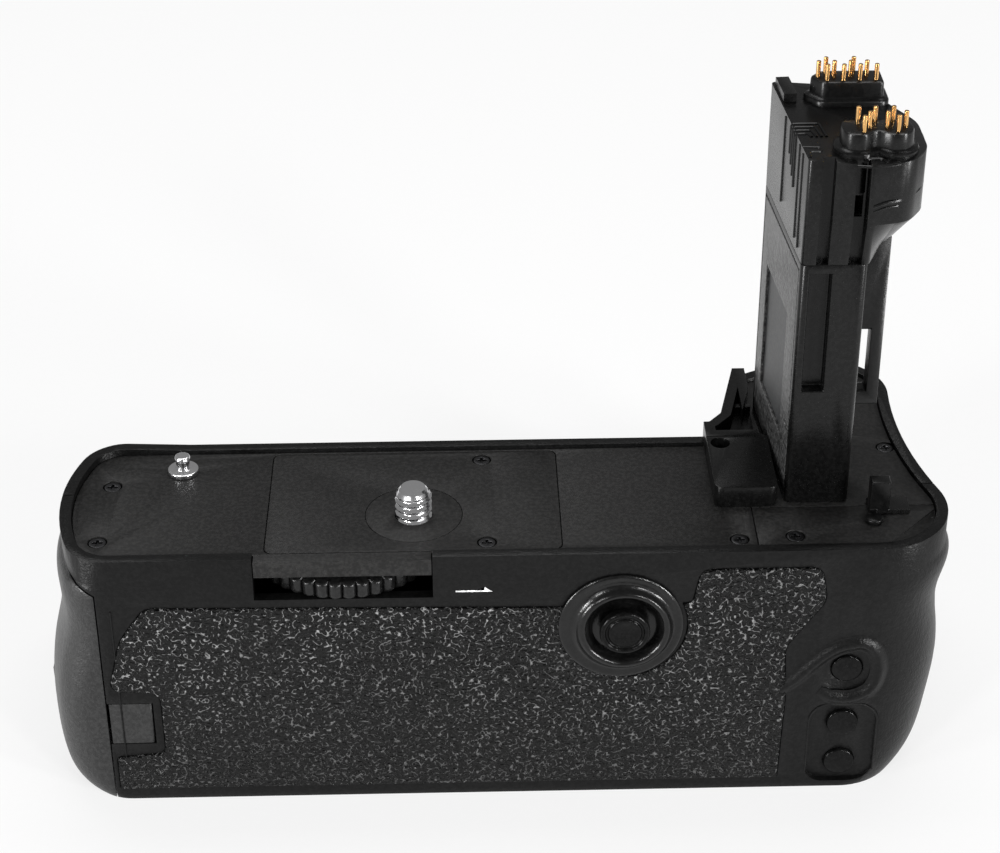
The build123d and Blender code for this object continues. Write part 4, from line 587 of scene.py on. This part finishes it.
DIAL_BASE, DIAL_TOP, DIAL_GEAR_BASE = 43.1 * MM, 46.3 * MM, 46.85 * MM
HUB_RADIUS, JOURNAL_RADIUS, GEAR_RADIUS = 3.0 * MM, 1.6 * MM, 4.6 * MM
RIBS, RIB_DEPTH, RIB_ROUND, RIB_ROWS, RIB_COLUMNS = 44, 0.9 * MM, 0.55, 17, 14
GEAR_TEETH, TOOTH_DEPTH, TOOTH_COLUMNS = 14, 1.1 * MM, 10
DISC_SHARE = 0.8  # of the dial's radius, where its flat faces end
RIM_FROM, RIM_FADE = 0.86, 0.08  # shares of the radius where the ribs start, and fade in
ARCH_SHARE = 0.16  # of the rim's height, at each end of a rib
ARCH_FLOOR, ARCH_CUT = 0.35, 0.8  # shares of a rib's depth: its groove and the rim's cut at the very end
TOOTH_FROM, TOOTH_FLAT = 0.7, 1.6  # share of the radius where teeth start, and how far the cosine overshoots


def rib_ripple(angle, along, out):
    """Cuts the rim by depth * (1 - |sin(ribs * angle / 2)|^round), which fades towards both faces so that
    each rib ends in an arch."""
    share = (along - along.min()) / (along.max() - along.min())
    arch = np.sqrt(np.clip(np.minimum(share, 1 - share) / ARCH_SHARE, 0, 1))
    groove = 1 - np.abs(np.sin(angle * RIBS / 2)) ** RIB_ROUND
    rim = np.clip((out - out.max() * RIM_FROM) / (out.max() * RIM_FADE), 0, 1) * RIB_DEPTH
    return out - rim * groove * (ARCH_FLOOR + (1 - ARCH_FLOOR) * arch) - rim * ARCH_CUT * (1 - arch)


def tooth_ripple(angle, along, out):
    """Cuts the rim by depth * (0.5 - 0.5 * a cosine of the teeth's phase, flattened at its ends)."""
    wave = np.clip(TOOTH_FLAT * np.cos(angle * GEAR_TEETH), -1, 1) * 0.5 + 0.5
    return out - TOOTH_DEPTH * (1 - wave) * (out > out.max() * TOOTH_FROM)


def attachment_dial():
    """The thumb dial with its arched ribs, and the first gear on its hub."""
    low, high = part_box("attachment_dial")
    radius = (high.x - low.x) / 2
    rim = np.stack([np.linspace(DIAL_BASE, DIAL_TOP, RIB_ROWS), np.full(RIB_ROWS, radius)], axis=-1)
    face = radius * DISC_SHARE
    disc = np.concatenate([[(DIAL_BASE, HUB_RADIUS), (DIAL_BASE, face)], rim,
                           [(DIAL_TOP, face), (DIAL_TOP, HUB_RADIUS)]])
    boss = np.array([(DIAL_BASE, HUB_RADIUS), (low.z, HUB_RADIUS), (low.z, JOURNAL_RADIUS),
                     (high.z, JOURNAL_RADIUS), (high.z, GEAR_RADIUS), (DIAL_GEAR_BASE, GEAR_RADIUS),
                     (DIAL_GEAR_BASE, HUB_RADIUS), (DIAL_TOP, HUB_RADIUS)])
    spot = ((low.x + high.x) / 2, (low.y + high.y) / 2, 0)
    mesh = mesh_of("thumb dial", turned(disc, "z", spot, RIBS * RIB_COLUMNS, rib_ripple),
                   turned(boss, "z", spot, GEAR_TEETH * TOOTH_COLUMNS, tooth_ripple))
    return replaced("attachment_dial", "thumb_dial_ribbed", mesh, TOOTHED)


attachment_dial()


# ---- joystick: tables of (distance towards the camera body, out from the axis, rounding), in millimetres

STICK = centre_of("joystick_cap")
SURROUND_PROFILE = np.array([
    (2.0, 3.3, 0), (2.0, 6.4, 0), (0.1, 6.4, 0), (0.1, 10.5, 0.3), (-0.35, 10.75, 0.5), (-0.75, 10.2, 0.6),
    (-0.62, 9.5, 0.6), (-0.5, 8.9, 0.6), (-0.95, 8.25, 0.6), (-1.7, 7.75, 0.6), (-1.95, 7.25, 0.6),
    (-1.7, 6.75, 0.6), (-0.9, 6.2, 0.6), (0.1, 5.7, 0.5), (0.3, 5.0, 0.5), (0.3, 3.3, 0), (2.0, 3.3, 0)])
BEAD_ASIDE, BEAD_FROM, BEAD_OVER = -0.55, 7.6, 2.2
STEM_PROFILE = np.array([(0, 0, 0), (0, 1.3, 0), (-2.0, 1.3, 0), (-2.0, 1.6, 0)])  # from the cap's back
CAP_PROFILE = np.array([  # from the cap's front
    (1.8, 1.6, 0), (1.8, 4.1, 0.2), (1.4, 4.3, 0.2), (0.35, 4.3, 0.35), (0, 3.95, 0.25), (0, 3.5, 0.25),
    (0.45, 3.2, 0.15), (0.45, 2.95, 0.15), (0.1, 2.7, 0.2), (0.12, 2.3, 0.3), (0.35, 1.2, 0.6), (0.4, 0, 0)])
PROFILE_STEPS = 6
SURROUND_COLUMNS, CAP_COLUMNS = 96, 72


def lathed(table, columns, shift=None):
    """A table of (place, out, rounding) turned about the stick's axis. shift(out) says how far each profile
    point moves aside."""
    profile = eased(table[:, :2], table[:, 2], PROFILE_STEPS)
    aside = None if shift is None else shift(profile[:, 1]) * MM
    return turned(profile * MM, "y", (STICK[0], 0, STICK[2]), columns, shift=aside)


def bead_shift(out):
    """The outer bead lies a little to the left of the stick: each point moves by its share of the way out."""
    share = np.clip((out - BEAD_FROM) / BEAD_OVER, 0, 1)
    return np.stack([BEAD_ASIDE * share, 0 * share], axis=-1)


def joystick():
    """The surround has a raised bead, a valley, a proud ring and a cup. The cap has a rounded outer ring,
    a groove and a slightly dished disc, with its stem and hub."""
    low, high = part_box("joystick_cap")
    surround = SURROUND_PROFILE + (REAR / MM, 0, 0)
    cap = np.concatenate([STEM_PROFILE + (high.y / MM, 0, 0), CAP_PROFILE + (low.y / MM, 0, 0)])
    mesh = mesh_of("joystick surround", lathed(surround, SURROUND_COLUMNS, bead_shift))
    replaced("joystick_bezel", "joystick_surround", mesh, RING)
    mesh = mesh_of("joystick cap", lathed(cap, CAP_COLUMNS))
    replaced("joystick_cap", "joystick_cap_dished", mesh, BUTTON)


joystick()


# ---- raised rim round the first rear button

CORNER_START, CORNER_ROUND = 78.0 * MM, 13.65 * MM  # where the rear face turns into the grip end
RIM_PATH = [(61.6, 20.6), (63.8, 22.6), (66.2, 25.0), (68.9, 28.0), (71.6, 30.3), (74.2, 31.3), (76.9, 31.5),
            (79.0, 29.6), (79.9, 26.0), (78.9, 22.1), (75.7, 20.0), (71.9, 20.1), (69.6, 21.5)]
RIM_HALF, RIM_RISE = 1.7 * MM, 0.75 * MM
RIM_START_FADE, RIM_END_FADE, RIM_FADE_LEAST, RIM_FADE_POWER = 0.14, 0.10, 0.02, 0.7
RIM_NARROWEST = 0.55  # of the rim's width, at its faded ends
RIM_CLEAR, RIM_SINK = 0.02 * MM, 0.25 * MM
RIM_STEPS, RIM_ACROSS = 140, 19
STEEPEST = 0.99  # of the corner's quarter turn, where the face would run straight back


def rear_face(x):
    """How far back the rear face is at x: flat, then a round corner of centre (start, face + radius)."""
    turn = np.clip((x - CORNER_START) / CORNER_ROUND, 0, STEEPEST)
    return REAR + CORNER_ROUND * (1 - np.sqrt(1 - turn ** 2))


def button_rim():
    """A low crest along the path. Its height across is rise * cos(pi u / 2)^2, and fades in at both ends."""
    path = smooth_path(RIM_PATH, RIM_STEPS) * MM
    along = unit(np.gradient(path, axis=0))
    side = np.stack([-along[:, 1], along[:, 0]], axis=-1)
    share = np.linspace(0, 1, RIM_STEPS)
    fade = np.clip(np.minimum(share / RIM_START_FADE, (1 - share) / RIM_END_FADE), RIM_FADE_LEAST, 1)
    fade = fade[:, None] ** RIM_FADE_POWER
    u = np.linspace(-1, 1, RIM_ACROSS)[None, :]
    half = RIM_HALF * (RIM_NARROWEST + (1 - RIM_NARROWEST) * fade)
    rise = RIM_RISE * fade * np.cos(np.pi * u / 2) ** 2
    x = path[:, :1] + side[:, :1] * u * half
    z = path[:, 1:] + side[:, 1:] * u * half
    top = np.stack([x, rear_face(x) - rise - RIM_CLEAR, z], axis=-1)
    under = np.stack([x, rear_face(x) + RIM_SINK, z], axis=-1)[:, ::-1]
    tube = np.concatenate([top, under], axis=1)
    ends = tube[[0, -1]].mean(axis=1, keepdims=True).repeat(tube.shape[1], axis=1)
    tube = np.concatenate([ends[:1], tube, ends[1:]])
    return shown("button_rim_crest", mesh_of("button rim", tube), SHELL, home("rear_shell"))


button_rim()


# ---- the head's raised marks, in millimetres

LEFTWARD, REARWARD, UPWARD = (-1, 0, 0), (0, -1, 0), (0, 0, 1)
OVER_EDGE, TOP_OUT, BAND_OUT = (-0.7, 0, 0.7), (0.6, -0.6, 0.5), (0.6, -0.8, 0)
HEAD_TOP = 115.5
LEFT_EDGE, LEFT_LEAN = 64.02, -0.0732  # the head's left face: x = edge + lean * y
EDGE_RUN = ((74.4, -0.4), (76.4, -0.15), (78.3, 0.25), (81.6, 2.5), (83.3, 6.2), (83.5, 12.0), (82.7, 17.0))
BAND_LIFT = (-0.6, 0, 0, 0.3, 0.5, 0.6, 0.6)  # of each point of the run, over the band's own height
CHEVRONS = ((15.2, 67.4, 110.4), (13.9, 66.6, 109.0), (12.6, 65.8, 107.6), (11.3, 65.0, 106.2))
RIBS_LEFT = ((19.5, 99.5, 115.0), (8.2, 98.5, 115.2), (5.6, 98.0, 114.8))
BANDS = ((108.8, 0.34), (107.9, 0.2))
CHEVRON_TURN, CHEVRON_END = 0.5, 10.2
CHEVRON_BEAD, RIB_BEAD, NOTCH_BEAD, TOP_BEAD, CLIP_BEAD = 0.27, 0.22, 0.2, 0.24, 0.26
LONG_ROUND, CLIP_ROUND = 2.0, 0.7
NOTCH_RUN = ((66.4, 6.2), (66.3, 4.6), (64.4, 4.6), (64.3, 2.6))
NOTCH_START = 6.4
TOP_RUN = ((71.4, -0.05), (74.2, -0.5), (78.3, 0.2), (81.6, 2.45), (83.3, 6.2), (83.5, 12.0), (82.7, 17.0),
           (79.2, 23.6))
TOP_DROP = 0.35
CLIP_RUN = ((72.6, 0.3), (73.0, 1.7), (75.6, 1.7), (76.0, 0.3))


def left_x(y):
    """Where the head's left face is at y."""
    return LEFT_EDGE + LEFT_LEAN * y


def at_height(run, z):
    """A run of (x, y) points at one height."""
    return [(x, y, z) for x, y in run]


def head_marks():
    """Chevrons and ribs on the left face, the notch's lip, the top edge, two bands and a clip."""
    for k, (y, right, low) in enumerate(CHEVRONS, 1):
        edge = left_x(y)
        bead("head_chevron_%d" % k, [(edge, y, low), (edge, y, HEAD_TOP), (right, y, HEAD_TOP),
                                     (right + CHEVRON_TURN, CHEVRON_END, HEAD_TOP)],
             CHEVRON_BEAD, OVER_EDGE, "tower_head")
    for k, (y, low, high) in enumerate(RIBS_LEFT, 1):
        rib = [(left_x(y), y, z) for z in (low, high)]
        bead("head_left_rib_%d" % k, rib, RIB_BEAD, LEFTWARD, "tower_head")
    notch = at_height(((left_x(NOTCH_START), NOTCH_START),) + NOTCH_RUN, HEAD_TOP)
    bead("head_notch_lip", notch, NOTCH_BEAD, UPWARD, "tower_head")
    top_edge = at_height(TOP_RUN, HEAD_TOP - TOP_DROP)
    bead("head_top_edge", top_edge, TOP_BEAD, TOP_OUT, "tower_head", LONG_ROUND)
    for k, (z, radius) in enumerate(BANDS, 1):
        band = [(x, y, z + lift) for (x, y), lift in zip(EDGE_RUN, BAND_LIFT)]
        bead("head_band_%d" % k, band, radius, BAND_OUT, "tower_head", LONG_ROUND)
    bead("head_clip", at_height(CLIP_RUN, HEAD_TOP), CLIP_BEAD, UPWARD, "tower_head", CLIP_ROUND)


head_marks()


# ---- connector blocks: a flange, a slope and rounded top edges, in millimetres

BLOCK_LOW, BLOCK_TOP = 109.2, 119.5
BLOCK_RINGS = (  # height, and how far the ring stands out from the outline
    (BLOCK_LOW, 0), (HEAD_TOP - 0.3, 0), (HEAD_TOP - 0.3, 1.0), (HEAD_TOP + 0.75, 1.0),
    (HEAD_TOP + 0.98, 0.82), (HEAD_TOP + 1.08, 0.35), (HEAD_TOP + 1.35, 0.08), (BLOCK_TOP - 0.4, 0),
    (BLOCK_TOP - 0.12, -0.12), (BLOCK_TOP, -0.42))
BLOCK_1 = [(73.0, 22.6), (79.0, 22.6), (79.0, 27.8), (69.0, 27.8), (66.9, 25.4), (69.0, 22.6), (73.0, 22.6)]
BLOCK_2 = [(69.4, 4.2), (70.6, 2.6), (72.6, 2.3), (74.2, 3.3), (75.0, 3.6), (75.8, 3.3), (77.4, 2.3),
           (79.4, 2.6), (80.7, 4.2), (80.7, 6.6), (79.6, 7.9), (75.0, 7.9), (70.4, 7.9), (69.4, 6.6)]
BLOCK_EASE, BLOCK_STEPS, LOOP_POINTS = 0.8, 6, 56


def block_piece(node, outline):
    """Rings of the outline, each moved out along its own normals by the ring's step, closed at both ends."""
    along = unit(np.roll(outline, -1, axis=0) - np.roll(outline, 1, axis=0))
    normal = np.stack([along[:, 1], -along[:, 0]], axis=-1)
    rings = [np.column_stack([outline + normal * step, np.full(len(outline), z)]) for z, step in BLOCK_RINGS]
    low, high = (np.tile([*rings[0].mean(axis=0)[:2], z], (len(outline), 1)) for z in (BLOCK_LOW, BLOCK_TOP))
    return replaced(node, node + "_moulded", mesh_of(node, np.array([low] + rings + [high]) * MM), TOWER)


block_piece("connector_block_1", eased(BLOCK_1, BLOCK_EASE, BLOCK_STEPS)[:-1])
block_piece("connector_block_2", smooth_loop(BLOCK_2, LOOP_POINTS))


# ---- rounded rims on the rear face, in millimetres

SEAM = [(-51.2, REAR / MM - 0.02, z) for z in (2.2, 41.0)]
PANEL = [(x, REAR / MM + back, z) for x, back, z in (
    (68.3, 0.1, 3.4), (68.3, 0.1, 16.2), (70.4, 0.1, 18.5), (78.0, 0.1, 18.5), (80.3, 0.2, 16.2),
    (80.3, 0.2, 3.6))]
SEAM_BEAD, PANEL_BEAD, PANEL_ROUND = 0.16, 0.2, 1.5
bead("cap_seam_edge", SEAM, SEAM_BEAD, REARWARD, "rear_shell")
bead("button_panel_edge", PANEL, PANEL_BEAD, REARWARD, "rear_shell", PANEL_ROUND)


# ---- painted arrow beside the dial, in millimetres

ARROW_TAIL, ARROW_TIP, ARROW_Z = 7.0, 13.2, 44.1
ARROW_BELOW, ARROW_ABOVE, ARROW_BARB, BARB_BACK, TIP_BACK = 0.16, 0.14, 0.75, 1.3, 1.0
PAINT_RISE, PAINT_DOME, PAINT_SINK, PAINT_EDGE = 0.05, 0.06, 0.02, 0.97
ARROW = [(ARROW_TAIL, -ARROW_BELOW), (ARROW_TIP - TIP_BACK, -ARROW_BELOW), (ARROW_TIP, -ARROW_BELOW),
         (ARROW_TIP - BARB_BACK, ARROW_BARB), (ARROW_TIP - BARB_BACK, ARROW_ABOVE), (ARROW_TAIL, ARROW_ABOVE)]


def arrow_mark():
    """A thin painted mark: rings of its outline from just under the rear face to its domed middle."""
    outline = np.array(ARROW) + (0, ARROW_Z)
    middle = outline.mean(axis=0)
    rings = []
    for share, rise in ((1.0, -PAINT_SINK), (1.0, PAINT_RISE), (PAINT_EDGE, PAINT_DOME), (0.0, PAINT_DOME)):
        ring = middle + (outline - middle) * share
        rings.append(np.stack([ring[:, 0], np.full(len(ring), REAR / MM - rise), ring[:, 1]], axis=-1))
    return shown("arrow_mark", mesh_of("arrow mark", np.array(rings) * MM), PAINT, home("rear_shell"))


arrow_mark()


# ---- buttons, skins, plates and screws, with their edges eased

softened({"rear_button_1": 0.45, "rear_button_2": 0.45, "rear_button_3": 0.45, "shutter_button": 0.5,
          "function_button": 0.4, "power_lever": 0.4, "rear_grip_skin": 0.35, "front_grip_skin": 0.35,
          "release_knob": 0.4, "corner_plate": 0.15, "grip_plate": 0.15, "centre_panel": 0.12,
          "tower_side_panel": 0.2, "contact_pins_1": 0.12, "contact_pins_2": 0.12, "top_screws": 0.08,
          "bottom_plate": 0.2, "screw_collar": 0.1}, segments=3)


# ---------------------------------------------------------------- camera, set to the photograph's angle

CAMERA_RISE = math.radians(31.928)
CAMERA_TURN = math.radians(1.110)
CAMERA_ROLL = math.radians(-0.3247)
CAMERA_ASIDE = -14.785 * MM
CAMERA_UP = -15.05 * MM
CAMERA_AWAY = 400.299 * MM
FOCAL_WIDTHS = 2.335046  # focal length over the picture's width
SENSOR = 36.0
CLIP_START = 10 * MM


def place_camera():
    """The camera looks down its rise and turn at the seat's middle, is rolled about its line of sight, and
    stands back and to the side from there."""
    looking = Vector((math.sin(CAMERA_TURN) * math.cos(CAMERA_RISE),
                      math.cos(CAMERA_TURN) * math.cos(CAMERA_RISE), -math.sin(CAMERA_RISE)))
    aside = Vector((math.cos(CAMERA_TURN), -math.sin(CAMERA_TURN), 0))
    upward = aside.cross(looking)
    across = aside * math.cos(CAMERA_ROLL) + upward * math.sin(CAMERA_ROLL)
    above = -aside * math.sin(CAMERA_ROLL) + upward * math.cos(CAMERA_ROLL)
    spot = Vector((0, 0, SEAT)) - (across * CAMERA_ASIDE + above * CAMERA_UP + looking * CAMERA_AWAY)
    lens = bpy.data.cameras.new("camera")
    lens.sensor_width, lens.lens, lens.clip_start = SENSOR, SENSOR * FOCAL_WIDTHS, CLIP_START
    camera = bpy.data.objects.new("camera", lens)
    bpy.context.scene.collection.objects.link(camera)
    facing = Matrix((across, above, -looking)).transposed()
    camera.matrix_world = Matrix.Translation(spot) @ facing.to_4x4()
    bpy.context.scene.camera = camera


place_camera()


# ---------------------------------------------------------------- studio

AIM = Vector((0.012, 0.01, 0.04))  # the point that every lamp is turned to
LAMPS = (  # name, place, width and height, power
    ("overhead softbox", (0.0, 0.35, 1.0), (0.9, 0.4), 6.0),
    ("left softbox", (-0.90, -0.50, 0.16), (0.14, 0.30), 9.0),
    ("right softbox", (0.85, -0.60, 0.22), (0.12, 0.30), 9.0),
    ("front left lamp", (-0.62, -0.85, 0.56), (0.14, 0.14), 4.0),
    ("front right lamp", (0.58, -0.85, 0.56), (0.14, 0.14), 4.0))
for name, place, size, power in LAMPS:
    light = bpy.data.lights.new(name, "AREA")
    light.shape, light.size, light.size_y, light.energy = "RECTANGLE", *size, power
    lamp = bpy.data.objects.new(name, light)
    lamp.location = place
    lamp.rotation_euler = (AIM - Vector(place)).to_track_quat("-Z", "Y").to_euler()
    bpy.context.scene.collection.objects.link(lamp)

WHITE = (1, 1, 1, 1)
FLOOR_HALF, FLOOR_GAP = 2.5, 0.05 * MM
FIBRE_SIZE, FIBRE_DEPTH = 1.6 * MM, 0.02 * MM
PAPER_DARK, PAPER_LIGHT = 0.80, 0.84
GLOW_SHARE = 0.75
AMBIENT = 0.22


def pale_floor():
    """A plain white floor. Camera rays see it mostly as lit paper, so that the shadow stays."""
    f = Finish("white paper floor")
    seen = f.rays("Is Camera Ray", "Is Glossy Ray", "Is Transmission Ray")
    fibres = f.noise(FIBRE_SIZE, detail=3.0)
    paper = f.blend(fibres, grey(PAPER_DARK), grey(PAPER_LIGHT))
    lit = f.node("BsdfDiffuse", None, {"Color": paper, "Normal": f.bumped((fibres, FIBRE_DEPTH))})
    glow = f.node("Emission", None, {"Color": WHITE, "Strength": 1.0})
    mixed = f.node("MixShader", None, {0: seen * GLOW_SHARE, 1: lit, 2: glow})
    f.node("OutputMaterial", None, {"Surface": mixed})
    h, z = FLOOR_HALF, BASE - FLOOR_GAP
    mesh = bpy.data.meshes.new("floor")
    mesh.from_pydata([(-h, -h, z), (h, -h, z), (h, h, z), (-h, h, z)], [], [(0, 1, 2, 3)])
    mesh.materials.append(f.block)
    made = bpy.data.objects.new("floor", mesh)
    bpy.context.scene.collection.objects.link(made)


def white_world():
    """A dim even sky that the camera sees as white."""
    world = bpy.data.worlds.new("studio")
    bpy.context.scene.world = world
    f = Finish("studio", world)
    seen = f.rays("Is Camera Ray", "Is Transmission Ray")
    light = f.node("Background", None, {"Color": WHITE, "Strength": seen * (1 - AMBIENT) + AMBIENT})
    f.node("OutputWorld", None, {"Surface": light})


pale_floor()
white_world()
bpy.context.scene.view_settings.view_transform = "Standard"
